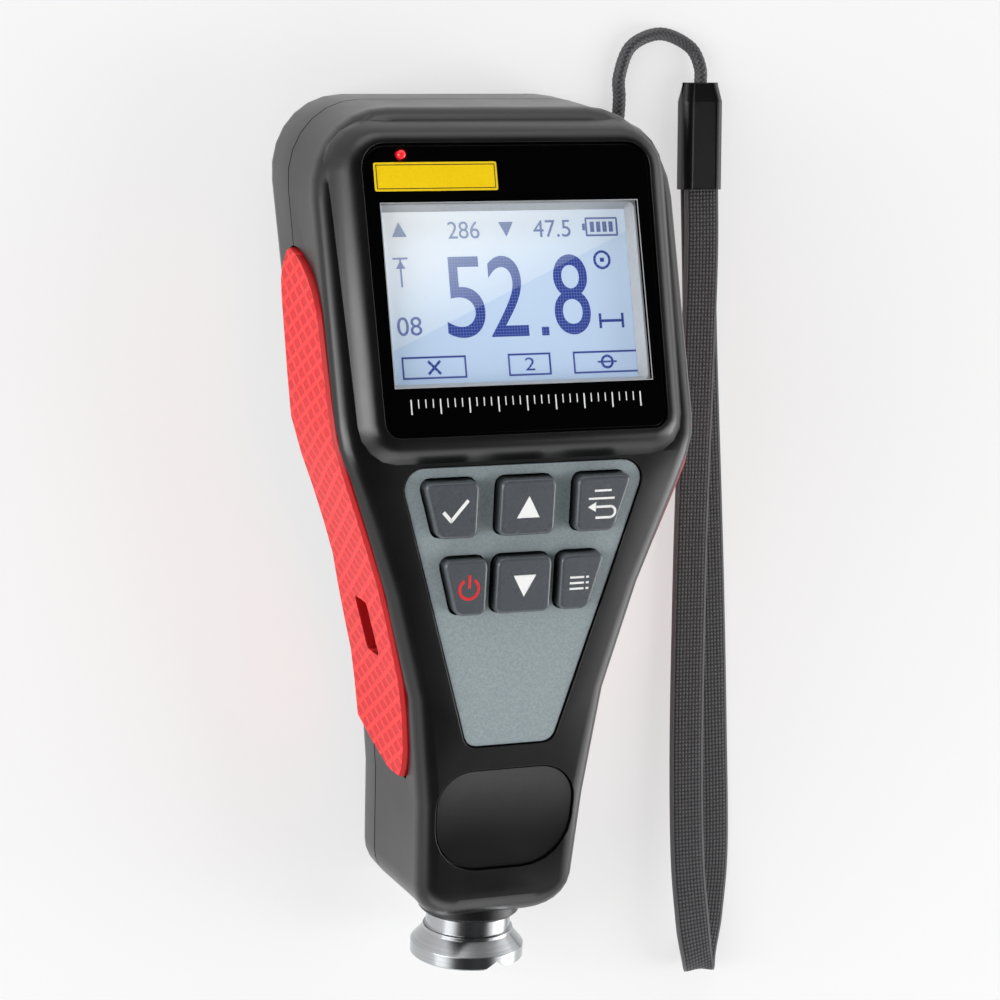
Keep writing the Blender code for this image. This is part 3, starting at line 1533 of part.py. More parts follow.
def probe_collar(parent):
    edge = COLLAR_RIM_EDGE
    top = collar_top_y()
    profile = (
        (COLLAR_BORE, top),
        (COLLAR_FLANGE_RADIUS, top),
        (COLLAR_FLANGE_RADIUS, NECK_RING_TOP_Y + GAP),
        (COLLAR_RADIUS, NECK_RING_TOP_Y + GAP),
        (COLLAR_RADIUS, COLLAR_LEDGE_Y),
        (COLLAR_LEDGE_RADIUS, COLLAR_LEDGE_Y),
        (COLLAR_LEDGE_RADIUS, COLLAR_LEDGE_Y - COLLAR_LEDGE_HEIGHT),
        (COLLAR_RIM_RADIUS, COLLAR_RIM_Y),
        (COLLAR_RIM_RADIUS, COLLAR_BOTTOM_Y + edge),
        (COLLAR_RIM_RADIUS - edge, COLLAR_BOTTOM_Y),
        (COLLAR_BORE, COLLAR_BOTTOM_Y),
    )
    body = turned(profile, closed=True)
    wedge = bmesh.new()
    reach = COLLAR_RIM_RADIUS + 0.002
    corners = []
    for x in (-reach, reach):
        corners.append(
            [
                wedge.verts.new((x, COLLAR_BOTTOM_Y + NOTCH_DEPTH, 0)),
                wedge.verts.new((x, COLLAR_BOTTOM_Y - 0.001, NOTCH_HALF_WIDTH * 1.8)),
                wedge.verts.new((x, COLLAR_BOTTOM_Y - 0.001, -NOTCH_HALF_WIDTH * 1.8)),
            ]
        )
    bridge(wedge, *corners)
    wedge.faces.new(corners[0])
    wedge.faces.new(corners[1])
    bmesh.ops.recalc_face_normals(wedge, faces=wedge.faces)
    wedge.transform(Matrix.Rotation(-NOTCH_ANGLE, 4, "Y"))
    return piece("probe_collar", combined(body, [("DIFFERENCE", wedge)]), "probe_steel", parent)


def guide_bottom_y():
    return collar_top_y() + GAP + SPRING_FREE_LENGTH + GAP


def probe_core(parent):
    tip = COLLAR_BOTTOM_Y + PROBE_TRAVEL
    top = guide_bottom_y() - GAP
    profile = (
        (0, tip),
        (CORE_RADIUS * 0.45, tip + 0.0001),
        (CORE_RADIUS * 0.9, tip + 0.0008),
        (CORE_RADIUS, tip + 0.0014),
        (CORE_RADIUS, top),
        (0, top),
    )
    return piece("probe_core", turned(profile, 20), "contact_metal", parent)


def probe_spring(parent):
    low = collar_top_y() + GAP + SPRING_WIRE
    high = guide_bottom_y() - GAP - SPRING_WIRE
    steps = SPRING_TURNS * 12
    path = []
    for k in range(steps + 1):
        angle = 2 * math.pi * SPRING_TURNS * k / steps
        share = min(max((k / steps * SPRING_TURNS - 0.5) / (SPRING_TURNS - 1), 0), 1)
        y = low + (high - low) * share
        path.append(Vector((SPRING_RADIUS * math.cos(angle), y, SPRING_RADIUS * math.sin(angle))))

    def section(i, tangent):
        outward = Vector((path[i].x, 0, path[i].z)).normalized()
        upward = outward.cross(tangent).normalized()
        ring = []
        for k in range(5):
            angle = 2 * math.pi * k / 5
            ring.append((outward * math.cos(angle) + upward * math.sin(angle)) * SPRING_WIRE)
        return ring

    return piece("probe_spring", swept(path, section), "screw_steel", parent)


def probe_guide(parent):
    low = guide_bottom_y()
    high = low + GUIDE_THICKNESS
    plate = box((-GUIDE_HALF_WIDTH, low, GUIDE_BOTTOM_Z), (GUIDE_HALF_WIDTH, high, GUIDE_TOP_Z))
    hole = turned(((0, low - 0.001), (0.0016, low - 0.001), (0.0016, low + 0.003), (0, low + 0.003)), 16)
    return piece("probe_guide", combined(plate, [("DIFFERENCE", hole)]), "inner_black", parent)


# Lanyard


def lanyard_bar(parent):
    return piece("lanyard_bar", moved(eyelet_bar(0.0), eyelet_matrix()), "screw_steel", parent)


def lanyard_cord(parent):
    """Braided cord from the eyelet, round its loop and into the connector."""
    frame = gauge_matrix() @ eyelet_matrix()
    start = bar_x() + EYELET_BAR_RADIUS + GAP
    route = [frame @ Vector((start, 0, 0)), frame @ Vector((start + 0.0022, 0, 0))]
    route.extend(Vector(place) for place in CORD_ROUTE)
    middle = TABLE_GAP + CONNECTOR_THICKNESS / 2
    route.append(Vector((CONNECTOR_X, CONNECTOR_TOP_Y + GAP, middle)))
    curve = bpy.data.curves.new("lanyard_cord", "CURVE")
    curve.dimensions = "3D"
    curve.bevel_depth = CORD_RADIUS
    curve.bevel_resolution = 2
    curve.use_fill_caps = True
    spline = curve.splines.new("POLY")
    places = smooth_route(route, 2)
    spline.points.add(len(places) - 1)
    for point, place in zip(spline.points, places):
        point.co = (*place, 1)
    curve.materials.append(material("cord_black"))
    made = bpy.data.objects.new("lanyard_cord", curve)
    bpy.context.scene.collection.objects.link(made)
    made.parent = parent
    return made


def lanyard_connector(parent):
    half = CONNECTOR_WIDTH / 2
    edge = CONNECTOR_EDGE
    rings = []
    length = CONNECTOR_LENGTH
    for y, scale in (
        (0.0, CONNECTOR_TOP_SCALE - 0.06),
        (-0.0004, CONNECTOR_TOP_SCALE),
        (-CONNECTOR_TAPER, 1.0),
        (-length + 0.0004, 1.0),
        (-length, 0.94),
    ):
        x = half * scale
        z = CONNECTOR_THICKNESS / 2 * (scale + 1) / 2
        corners = ((-x, z, edge), (x, z, edge), (x, -z, edge), (-x, -z, edge))
        rings.append([(p.x, y, p.y) for p, n in rounded(corners)])
    place = (CONNECTOR_X, CONNECTOR_TOP_Y, TABLE_GAP + CONNECTOR_THICKNESS / 2)
    return piece("lanyard_connector", stack(rings, cap=None), "connector_black", parent, place)


def lanyard_strap(parent):
    """Flat strap: down from the connector, round its end and back."""
    end = CONNECTOR_TOP_Y - CONNECTOR_LENGTH - STRAP_END_GAP
    route = [Vector((CONNECTOR_X, end, STRAP_ROUTE[0][2]))]
    route.extend(Vector(place) for place in STRAP_ROUTE)
    route.append(Vector((CONNECTOR_X, end, 0.0016)))
    path = smooth_route(route, 2)

    def section(i, tangent):
        across = Vector((1, 0, 0))
        across = (across - tangent * across.dot(tangent)).normalized()
        up = across.cross(tangent).normalized() * STRAP_THICKNESS / 2
        side = across * STRAP_WIDTH / 2
        return (side + up, -side + up, -side - up, side - up)

    return piece("lanyard_strap", swept(path, section), "strap_black", parent)


def centre_on_base(ground, lanyard):
    """Moves the whole model so that the gauge's box is centred on the origin."""
    bpy.context.view_layer.update()
    xs = []
    ys = []
    for item in bpy.context.scene.objects:
        if item.type != "MESH" or item.name in lanyard:
            continue
        for corner in item.data.vertices:
            place = item.matrix_world @ corner.co
            xs.append(place.x)
            ys.append(place.y)
    ground.location = (-(min(xs) + max(xs)) / 2, -(min(ys) + max(ys)) / 2, 0)


def main():
    clear_scene()
    ground = empty("ground")
    gauge = empty("gauge", ground, gauge_matrix())
    display = empty("display_plane", gauge, display_matrix())
    keypad = empty("keypad_plane", gauge, keypad_matrix())
    bay = empty("battery_bay", gauge, bay_matrix())
    front_shell(gauge)
    rear_shell(gauge, rest_land())
    piece("left_grip", combined(grip_solid(-1), [("DIFFERENCE", usb_cutter(GAP))]), "grip_red", gauge)
    piece("right_grip", grip_solid(1), "grip_red", gauge)
    display_window(display)
    display_frame(display)
    lcd_panel(display)
    status_led(display)
    display_board(display)
    buzzer(display)
    keypad_panel(gauge)
    for name, outline, centre in key_outlines():
        key(name, outline, centre, keypad)
    thumb_pad(gauge)
    key_mat(gauge)
    main_board(gauge)
    usb_socket(gauge)
    ribbon_cable(gauge)
    battery_cell("battery_cell_a", -1, bay)
    battery_cell("battery_cell_b", 1, bay)
    battery_contacts(bay)
    battery_tray(gauge)
    battery_door(bay)
    door_screw(bay)
    case_screws(gauge)
    probe_neck(gauge)
    probe_collar(gauge)
    probe_core(gauge)
    probe_spring(gauge)
    probe_guide(gauge)
    lanyard_bar(gauge)
    lanyard_cord(ground)
    lanyard_connector(ground)
    lanyard_strap(ground)
    centre_on_base(ground, ("lanyard_cord", "lanyard_connector", "lanyard_strap"))


main()
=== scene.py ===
"""Looks of the hand-held coating thickness gauge and its wrist lanyard.

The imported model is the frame. Each sub-assembly is a class that models or dresses its pieces, each
finish is a frozen dataclass that makes one material, and main() builds them in order. Lengths in
the classes are in millimetres, and the finished meshes are in metres.
"""

import json
import logging
import math
from dataclasses import dataclass, field
from enum import Enum

import bmesh
import bpy
from mathutils import Matrix, Vector


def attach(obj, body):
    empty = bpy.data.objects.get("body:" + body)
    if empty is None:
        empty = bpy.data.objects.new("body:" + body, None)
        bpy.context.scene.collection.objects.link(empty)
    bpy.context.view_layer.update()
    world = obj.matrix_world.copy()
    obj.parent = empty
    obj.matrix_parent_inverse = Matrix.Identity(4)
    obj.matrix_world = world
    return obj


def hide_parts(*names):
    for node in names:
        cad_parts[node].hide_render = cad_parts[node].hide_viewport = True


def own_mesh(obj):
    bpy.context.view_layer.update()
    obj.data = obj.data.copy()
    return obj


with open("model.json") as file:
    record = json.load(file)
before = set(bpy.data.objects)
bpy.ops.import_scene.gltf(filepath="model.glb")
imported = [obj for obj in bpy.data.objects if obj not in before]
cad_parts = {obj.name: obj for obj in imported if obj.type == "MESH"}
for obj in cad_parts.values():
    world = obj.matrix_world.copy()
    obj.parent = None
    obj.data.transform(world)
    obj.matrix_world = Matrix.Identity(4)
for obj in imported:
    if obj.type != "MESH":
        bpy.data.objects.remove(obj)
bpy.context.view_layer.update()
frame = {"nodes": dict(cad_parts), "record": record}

MM = 0.001
# Ink of a printed mark, in millimetres; it is thicker than real ink, so that it stands proud
PRINT_THICKNESS = 0.03
# Faces that turn by more than this meet in a sharp edge
CREASE = math.radians(33)
# Distance between the display's dots in millimetres
DOT_PITCH = 0.5
# Sockets of a Mix node that blends colours, whose inputs share their names
MIX_SHARE = 0
MIX_LOW = 6
MIX_HIGH = 7
MIX_RESULT = 2
LOG = logging.getLogger("gauge")


class Plane(Enum):
    """The planes that the gauge's pieces are drawn on: origin in metres and lean in degrees."""

    GAUGE = ((0.0, 0.011944, 0.024496), 6.23436)
    DISPLAY = ((0.0, 0.0421885, 0.0349422), -12.76564)
    KEYPAD = ((0.0, 0.0054641, 0.0377708), 6.83437)

    @property
    def matrix(self) -> Matrix:
        """Matrix from this plane's metres to the frame of the part."""
        origin, lean = self.value
        return Matrix.Translation(origin) @ Matrix.Rotation(math.radians(lean), 4, "X")

    @property
    def drawing(self) -> Matrix:
        """Matrix from this plane's millimetres to the frame of the part."""
        return self.matrix @ Matrix.Scale(MM, 4)


def linear_colour(code: str) -> tuple[float, float, float, float]:
    """Turn an sRGB hex colour into linear values.

    Args:
        code: the colour, such as "#1c1c1d".

    Returns:
        Red, green, blue and full opacity.
    """
    channels = []
    for start in (1, 3, 5):
        value = int(code[start : start + 2], 16) / 255
        channels.append(value / 12.92 if value <= 0.04045 else ((value + 0.055) / 1.055) ** 2.4)
    return (channels[0], channels[1], channels[2], 1.0)


def add_node(
    tree: bpy.types.NodeTree, kind: str, inputs: dict | None = None, **settings: object
) -> bpy.types.Node:
    """Add one node to a tree.

    Args:
        tree: the node tree.
        kind: the node's type without its "ShaderNode", such as "Bump".
        inputs: input sockets, each with the output that feeds it, its value or its hex colour.
        settings: attributes of the node and their values.

    Returns:
        The new node.
    """
    node = tree.nodes.new("ShaderNode" + kind)
    for name, value in settings.items():
        setattr(node, name, value)
    for socket, value in (inputs or {}).items():
        if isinstance(value, bpy.types.NodeSocket):
            tree.links.new(value, node.inputs[socket])
        elif isinstance(value, str):
            node.inputs[socket].default_value = linear_colour(value)
        else:
            node.inputs[socket].default_value = value
    return node


def drawing_place(tree: bpy.types.NodeTree, plane: Plane) -> bpy.types.Node:
    """Separate Object coordinates, turned into millimetres on a plane, into x, y and z.

    Args:
        tree: the node tree.
        plane: the plane that the pattern is drawn on.

    Returns:
        The node whose outputs are x, y and z.
    """
    origin, lean = plane.value
    place = add_node(tree, "TexCoord").outputs["Object"]
    turned = add_node(
        tree,
        "Mapping",
        {
            "Vector": place,
            "Location": origin,
            "Rotation": (math.radians(lean), 0.0, 0.0),
            "Scale": (MM, MM, MM),
        },
        vector_type="TEXTURE",
    )
    return add_node(tree, "SeparateXYZ", {0: turned.outputs[0]})


@dataclass(frozen=True)
class Finish:
    """A surface finish: its name, its sRGB colour and the shader's plain values."""

    name: str
    colour: str
    roughness: float = 0.5
    metallic: float = 0.0
    sockets: tuple = ()

    def material(self) -> bpy.types.Material:
        """Make the material once and return it.

        Returns:
            The material.
        """
        found = bpy.data.materials.get(self.name)
        if found:
            return found
        made = bpy.data.materials.new(self.name)
        made.use_nodes = True
        shader = made.node_tree.nodes["Principled BSDF"]
        shader.inputs["Base Color"].default_value = linear_colour(self.colour)
        shader.inputs["Roughness"].default_value = self.roughness
        shader.inputs["Metallic"].default_value = self.metallic
        for socket, value in self.sockets:
            shader.inputs[socket].default_value = value
        made.diffuse_color = linear_colour(self.colour)
        self.detail(made.node_tree, shader)
        return made

    def detail(self, tree: bpy.types.NodeTree, shader: bpy.types.Node) -> None:
        """Add what the finish shows beyond its plain values."""


@dataclass(frozen=True)
class MouldedPlastic(Finish):
    """Injection-moulded ABS with a spark-eroded grain, which breaks up its highlights.

    The grain of a real mould is about 0.05 mm; it is drawn coarser, so that it shows.
    """

    tone: str = "#242425"
    grain: float = 0.35
    relief: float = 0.02
    cloud: float = 9.0
    clouding: float = 0.45
    wear: float = 0.06
    edge: float = 0.18

    def detail(self, tree: bpy.types.NodeTree, shader: bpy.types.Node) -> None:
        """Vary the colour in soft clouds and fine grain, and roughen the surface.

        Args:
            tree: the material's node tree.
            shader: its Principled shader.
        """
        place = add_node(tree, "TexCoord").outputs["Object"]
        cloud = add_node(
            tree,
            "TexNoise",
            {"Scale": 1 / (self.cloud * MM), "Detail": 3.0, "Roughness": 0.6, "Vector": place},
        )
        grain = add_node(
            tree,
            "TexNoise",
            {"Scale": 1 / (self.grain * MM), "Detail": 2.0, "Roughness": 0.55, "Vector": place},
        )
        mixed = add_node(
            tree, "Math", {0: grain.outputs[0], 1: 1 - self.clouding}, operation="MULTIPLY"
        ).outputs[0]
        mixed = add_node(
            tree,
            "Math",
            {0: cloud.outputs[0], 1: self.clouding, 2: mixed},
            operation="MULTIPLY_ADD",
        ).outputs[0]
        spread = add_node(tree, "MapRange", {"From Min": 0.36, "From Max": 0.64, "Value": mixed})
        tree.links.new(
            add_node(
                tree,
                "Mix",
                {MIX_SHARE: spread.outputs[0], MIX_LOW: self.colour, MIX_HIGH: self.tone},
                data_type="RGBA",
            ).outputs[MIX_RESULT],
            shader.inputs["Base Color"],
        )
        rough = add_node(
            tree,
            "Math",
            {0: cloud.outputs[0], 1: self.wear * 2, 2: self.roughness - self.wear},
            operation="MULTIPLY_ADD",
        ).outputs[0]
        tree.links.new(rough, shader.inputs["Roughness"])
        soft = add_node(tree, "Bevel", {"Radius": self.edge * MM}, samples=4)
        bump = add_node(
            tree,
            "Bump",
            {
                "Strength": 0.5,
                "Distance": self.relief * MM,
                "Height": grain.outputs[0],
                "Normal": soft.outputs[0],
            },
        )
        tree.links.new(bump.outputs[0], shader.inputs["Normal"])


@dataclass(frozen=True)
class RidgedRubber(Finish):
    """Moulded thermoplastic rubber: crossing ribs round sunk diamonds, within a smooth edge band.
    The ribs are painted paler as painted highlight, and the diamonds and the edge band darker as
    painted shade.
    """

    # Paler red of the ribs, a painted highlight.
    rib_highlight: str = "#f03232"
    # Darker red of the smooth edge band, a painted shade, which also mottles the ribs.
    lip_shade_and_mottle: str = "#a5060b"
    along: float = 2.9
    across: float = 4.6
    relief: float = 0.22

    def detail(self, tree: bpy.types.NodeTree, shader: bpy.types.Node) -> None:
        """Sink the diamonds into the grip's flat side and colour ribs, diamonds and edge band: paler
        ribs as painted highlight, darker diamonds and edge band as painted shade.

        Args:
            tree: the material's node tree.
            shader: its Principled shader.
        """
        place = drawing_place(tree, Plane.GAUGE)
        run = add_node(
            tree, "Math", {0: place.outputs[1], 1: self.along}, operation="DIVIDE"
        ).outputs[0]
        rise = add_node(
            tree, "Math", {0: place.outputs[2], 1: self.across}, operation="DIVIDE"
        ).outputs[0]
        depths = []
        for side in (1.0, -1.0):
            phase = add_node(
                tree, "Math", {0: rise, 1: side, 2: run}, operation="MULTIPLY_ADD"
            ).outputs[0]
            folded = add_node(tree, "Math", {0: phase, 1: 0.5}, operation="PINGPONG").outputs[0]
            depths.append(
                add_node(tree, "Math", {0: folded, 1: 2.0}, operation="MULTIPLY").outputs[0]
            )
        inside = add_node(
            tree, "Math", {0: depths[0], 1: depths[1]}, operation="MINIMUM"
        ).outputs[0]
        sunk = add_node(
            tree,
            "MapRange",
            {"From Min": 0.26, "From Max": 0.44, "Value": inside},
            interpolation_type="SMOOTHSTEP",
        )
        facing = add_node(tree, "NewGeometry").outputs["True Normal"]
        tilt = add_node(tree, "SeparateXYZ", {0: facing}).outputs[2]
        flat = add_node(
            tree,
            "MapRange",
            {
                "From Min": 0.42,
                "From Max": 0.22,
                "Value": add_node(tree, "Math", {0: tilt}, operation="ABSOLUTE").outputs[0],
            },
        )
        pit_depth_and_shade = add_node(
            tree, "Math", {0: sunk.outputs[0], 1: flat.outputs[0]}, operation="MULTIPLY"
        ).outputs[0]
        coords = add_node(tree, "TexCoord").outputs["Object"]
        grain = add_node(
            tree, "TexNoise", {"Scale": 1 / (0.5 * MM), "Detail": 3.0, "Vector": coords}
        )
        # Painted highlight on the ribs and painted shade in the sunk diamonds.
        ribs = add_node(
            tree,
            "Mix",
            {MIX_SHARE: pit_depth_and_shade, MIX_LOW: self.rib_highlight, MIX_HIGH: self.colour},
            data_type="RGBA",
        ).outputs[MIX_RESULT]
        mottled = add_node(
            tree,
            "Mix",
            {
                MIX_SHARE: add_node(
                    tree, "Math", {0: grain.outputs[0], 1: 0.35}, operation="MULTIPLY"
                ).outputs[0],
                MIX_LOW: ribs,
                MIX_HIGH: self.lip_shade_and_mottle,
            },
            data_type="RGBA",
        ).outputs[MIX_RESULT]
        # Painted shade: faces that turn up or down, the smooth edge band, take a darker red.
        tree.links.new(
            add_node(
                tree,
                "Mix",
                {MIX_SHARE: flat.outputs[0], MIX_LOW: self.lip_shade_and_mottle, MIX_HIGH: mottled},
                data_type="RGBA",
            ).outputs[MIX_RESULT],
            shader.inputs["Base Color"],
        )
        height = add_node(
            tree, "Math", {0: grain.outputs[0], 1: 0.1, 2: 1.0}, operation="MULTIPLY_ADD"
        ).outputs[0]
        height = add_node(tree, "Math", {0: height, 1: pit_depth_and_shade}, operation="SUBTRACT").outputs[0]
        soft = add_node(tree, "Bevel", {"Radius": 0.35 * MM}, samples=4)
        bump = add_node(
            tree,
            "Bump",
            {
                "Strength": 0.9,
                "Distance": self.relief * MM,
                "Height": height,
                "Normal": soft.outputs[0],
            },
        )
        tree.links.new(bump.outputs[0], shader.inputs["Normal"])


@dataclass(frozen=True)
class GlossPlate(Finish):
    """Back-printed acrylic: deep black under a hard gloss, with faint wiping marks."""

    def detail(self, tree: bpy.types.NodeTree, shader: bpy.types.Node) -> None:
        """Vary the gloss where the plate was wiped.

        Args:
            tree: the material's node tree.
            shader: its Principled shader.
        """
        place = add_node(tree, "TexCoord").outputs["Object"]
        stretched = add_node(
            tree,
            "Mapping",
            {"Rotation": (0.0, 0.0, 0.5), "Scale": (40.0, 400.0, 400.0), "Vector": place},
        )
        wiped = add_node(
            tree, "TexNoise", {"Scale": 1.0, "Detail": 2.0, "Vector": stretched.outputs[0]}
        )
        rough = add_node(
            tree,
            "Math",
            {0: wiped.outputs[0], 1: 0.06, 2: self.roughness - 0.02},
            operation="MULTIPLY_ADD",
        ).outputs[0]
        tree.links.new(rough, shader.inputs["Roughness"])
        soft = add_node(tree, "Bevel", {"Radius": 0.2 * MM}, samples=4)
        tree.links.new(soft.outputs[0], shader.inputs["Normal"])


@dataclass(frozen=True)
class PrintedWindow(GlossPlate):
    """Acrylic plate printed black from behind, around a clear aperture with a fine pale border."""

    half_width: float = 22.4
    half_height: float = 14.65
    centre: float = -0.8
    border: float = 0.17
    border_colour: str = "#a9adb0"

    def detail(self, tree: bpy.types.NodeTree, shader: bpy.types.Node) -> None:
        """Leave the aperture clear and draw its border.

        Args:
            tree: the material's node tree.
            shader: its Principled shader.
        """
        super().detail(tree, shader)
        place = drawing_place(tree, Plane.DISPLAY)
        across = add_node(tree, "Math", {0: place.outputs[0]}, operation="ABSOLUTE").outputs[0]
        offset = add_node(
            tree, "Math", {0: place.outputs[1], 1: self.centre}, operation="SUBTRACT"
        ).outputs[0]
        along = add_node(tree, "Math", {0: offset}, operation="ABSOLUTE").outputs[0]
        reach = add_node(
            tree,
            "Math",
            {
                0: add_node(
                    tree, "Math", {0: across, 1: self.half_width}, operation="SUBTRACT"
                ).outputs[0],
                1: add_node(
                    tree, "Math", {0: along, 1: self.half_height}, operation="SUBTRACT"
                ).outputs[0],
            },
            operation="MAXIMUM",
        ).outputs[0]
        clear = add_node(tree, "Math", {0: reach, 1: 0.0}, operation="LESS_THAN").outputs[0]
        rim = add_node(tree, "Math", {0: reach, 1: self.border}, operation="LESS_THAN").outputs[0]
        tree.links.new(
            add_node(
                tree,
                "Mix",
                {MIX_SHARE: rim, MIX_LOW: self.colour, MIX_HIGH: self.border_colour},
                data_type="RGBA",
            ).outputs[MIX_RESULT],
            shader.inputs["Base Color"],
        )
        see_through = add_node(tree, "BsdfTransparent")
        gloss = add_node(tree, "BsdfAnisotropic", {"Roughness": 0.05})
        share = add_node(tree, "Fresnel", {"IOR": 1.4}).outputs[0]
        inner = add_node(tree, "NewGeometry").outputs["Backfacing"]
        share = add_node(
            tree,
            "Math",
            {
                0: share,
                1: add_node(tree, "Math", {0: 1.0, 1: inner}, operation="SUBTRACT").outputs[0],
            },
            operation="MULTIPLY",
        ).outputs[0]
        pane = add_node(
            tree, "MixShader", {0: share, 1: see_through.outputs[0], 2: gloss.outputs[0]}
        )
        whole = add_node(tree, "MixShader", {0: clear, 1: shader.outputs[0], 2: pane.outputs[0]})
        tree.links.new(whole.outputs[0], tree.nodes["Material Output"].inputs["Surface"])


@dataclass(frozen=True)
class ShadedPlastic(MouldedPlastic):
    """Moulded part with painted shade: its colour runs into a darker one between two places along
    one axis of a plane.
    """

    plane: Plane = Plane.KEYPAD
    axis: int = 2
    start: float = 0.0
    end: float = 1.0
    # The darker colour of the painted shade.
    shade_colour: str = "#000000"

    def detail(self, tree: bpy.types.NodeTree, shader: bpy.types.Node) -> None:
        """Blend the speckled colour into the darker one, a painted shade.

        Args:
            tree: the material's node tree.
            shader: its Principled shader.
        """
        super().detail(tree, shader)
        base = shader.inputs["Base Color"].links[0].from_socket
        place = drawing_place(tree, self.plane)
        share = add_node(
            tree,
            "MapRange",
            {"From Min": self.start, "From Max": self.end, "Value": place.outputs[self.axis]},
            interpolation_type="SMOOTHSTEP",
        )
        # Painted shade: the colour darkens between start and end along the axis.
        tree.links.new(
            add_node(
                tree,
                "Mix",
                {MIX_SHARE: share.outputs[0], MIX_LOW: base, MIX_HIGH: self.shade_colour},
                data_type="RGBA",
            ).outputs[MIX_RESULT],
            shader.inputs["Base Color"],
        )


@dataclass(frozen=True)
class PaintedGlare:
    """A painted reflection: the bright corner of the display cover, above a slanted line across the
    glass.
    """

    slope: float = 0.433
    offset: float = -0.2
    near: float = 0.18
    rise: float = 0.038

    def factor(self, tree: bpy.types.NodeTree, place: bpy.types.Node) -> bpy.types.NodeSocket:
        """Share of the painted glare at a place on the display's plane, 0 below the line.

        Args:
            tree: the material's node tree.
            place: the node that gives x, y and z on the display's plane.

        Returns:
            The socket with the glare's factor.
        """
        line = add_node(
            tree,
            "Math",
            {0: place.outputs[0], 1: self.slope, 2: self.offset},
            operation="MULTIPLY_ADD",
        ).outputs[0]
        above = add_node(
            tree, "Math", {0: place.outputs[1], 1: line}, operation="SUBTRACT"
        ).outputs[0]
        inside = add_node(tree, "MapRange", {"From Min": 0.0, "From Max": 0.12, "Value": above})
        grown = add_node(
            tree, "Math", {0: above, 1: self.rise, 2: self.near}, operation="MULTIPLY_ADD"
        ).outputs[0]
        capped = add_node(tree, "Math", {0: grown, 1: 0.95}, operation="MINIMUM").outputs[0]
        return add_node(
            tree, "Math", {0: capped, 1: inside.outputs[0]}, operation="MULTIPLY"
        ).outputs[0]


def dot_matrix(
    tree: bpy.types.NodeTree, place: bpy.types.Node, pitch: float
) -> bpy.types.NodeSocket:
    """1 on the thin lines between the display's dots, 0 on the dots.

    Args:
        tree: the material's node tree.
        place: the node that gives x, y and z on the display's plane.
        pitch: distance between two dots in millimetres.

    Returns:
        The socket with the lines' factor.
    """
    lines = []
    for axis in (0, 1):
        step = add_node(
            tree, "Math", {0: place.outputs[axis], 1: pitch}, operation="DIVIDE"
        ).outputs[0]
        lines.append(
            add_node(
                tree,
                "Math",
                {0: add_node(tree, "Math", {0: step}, operation="FRACT").outputs[0], 1: 0.78},
                operation="GREATER_THAN",
            ).outputs[0],
        )
    return add_node(tree, "Math", {0: lines[0], 1: lines[1]}, operation="MAXIMUM").outputs[0]


@dataclass(frozen=True)
class DisplayFilm(Finish):
    """Backlit liquid-crystal film: pale blue, brighter in the corner where a painted glare crosses
    it.
    """

    top: str = "#c3d6ea"
    # Colour of the painted reflection where the glare crosses the film.
    bright: str = "#f7fcff"
    glare: PaintedGlare = PaintedGlare()

    def detail(self, tree: bpy.types.NodeTree, shader: bpy.types.Node) -> None:
        """Grade the film from top to bottom, add the painted glare and let the backlight through.

        Args:
            tree: the material's node tree.
            shader: its Principled shader.
        """
        place = drawing_place(tree, Plane.DISPLAY)
        height = add_node(
            tree, "MapRange", {"From Min": -15.0, "From Max": 14.0, "Value": place.outputs[1]}
        )
        film = add_node(
            tree,
            "Mix",
            {MIX_SHARE: height.outputs[0], MIX_LOW: self.colour, MIX_HIGH: self.top},
            data_type="RGBA",
        ).outputs[MIX_RESULT]
        lines = add_node(
            tree, "Math", {0: dot_matrix(tree, place, DOT_PITCH), 1: 0.09}, operation="MULTIPLY"
        ).outputs[0]
        film = add_node(
            tree, "Mix", {MIX_SHARE: lines, MIX_LOW: film, MIX_HIGH: "#8fa6c4"}, data_type="RGBA"
        ).outputs[MIX_RESULT]
        # Painted reflection: the glare's corner is painted paler, and it glows with the film.
        film = add_node(
            tree,
            "Mix",
            {MIX_SHARE: self.glare.factor(tree, place), MIX_LOW: film, MIX_HIGH: self.bright},
            data_type="RGBA",
        ).outputs[MIX_RESULT]
        tree.links.new(film, shader.inputs["Base Color"])
        tree.links.new(film, shader.inputs["Emission Color"])


@dataclass(frozen=True)
class DisplayInk(Finish):
    """Dark dots of the liquid-crystal film, washed out by a painted reflection where the glare
    crosses them.
    """

    gap: str = "#7f93c8"
    # Colour that the painted reflection washes the dots into.
    bright: str = "#c9d7ea"
    glare: PaintedGlare = PaintedGlare()

    def detail(self, tree: bpy.types.NodeTree, shader: bpy.types.Node) -> None:
        """Show the dots and the painted glare.

        Args:
            tree: the material's node tree.
            shader: its Principled shader.
        """
        place = drawing_place(tree, Plane.DISPLAY)
        lines = add_node(
            tree, "Math", {0: dot_matrix(tree, place, DOT_PITCH), 1: 0.5}, operation="MULTIPLY"
        ).outputs[0]
        ink = add_node(
            tree,
            "Mix",
            {MIX_SHARE: lines, MIX_LOW: self.colour, MIX_HIGH: self.gap},
            data_type="RGBA",
        ).outputs[MIX_RESULT]
        # Painted reflection: under the glare the dots fade to a pale blue.
        wash = add_node(
            tree, "Math", {0: self.glare.factor(tree, place), 1: 0.85}, operation="MULTIPLY"
        ).outputs[0]
        ink = add_node(
            tree, "Mix", {MIX_SHARE: wash, MIX_LOW: ink, MIX_HIGH: self.bright}, data_type="RGBA"
        ).outputs[MIX_RESULT]
        tree.links.new(ink, shader.inputs["Base Color"])
        tree.links.new(ink, shader.inputs["Emission Color"])


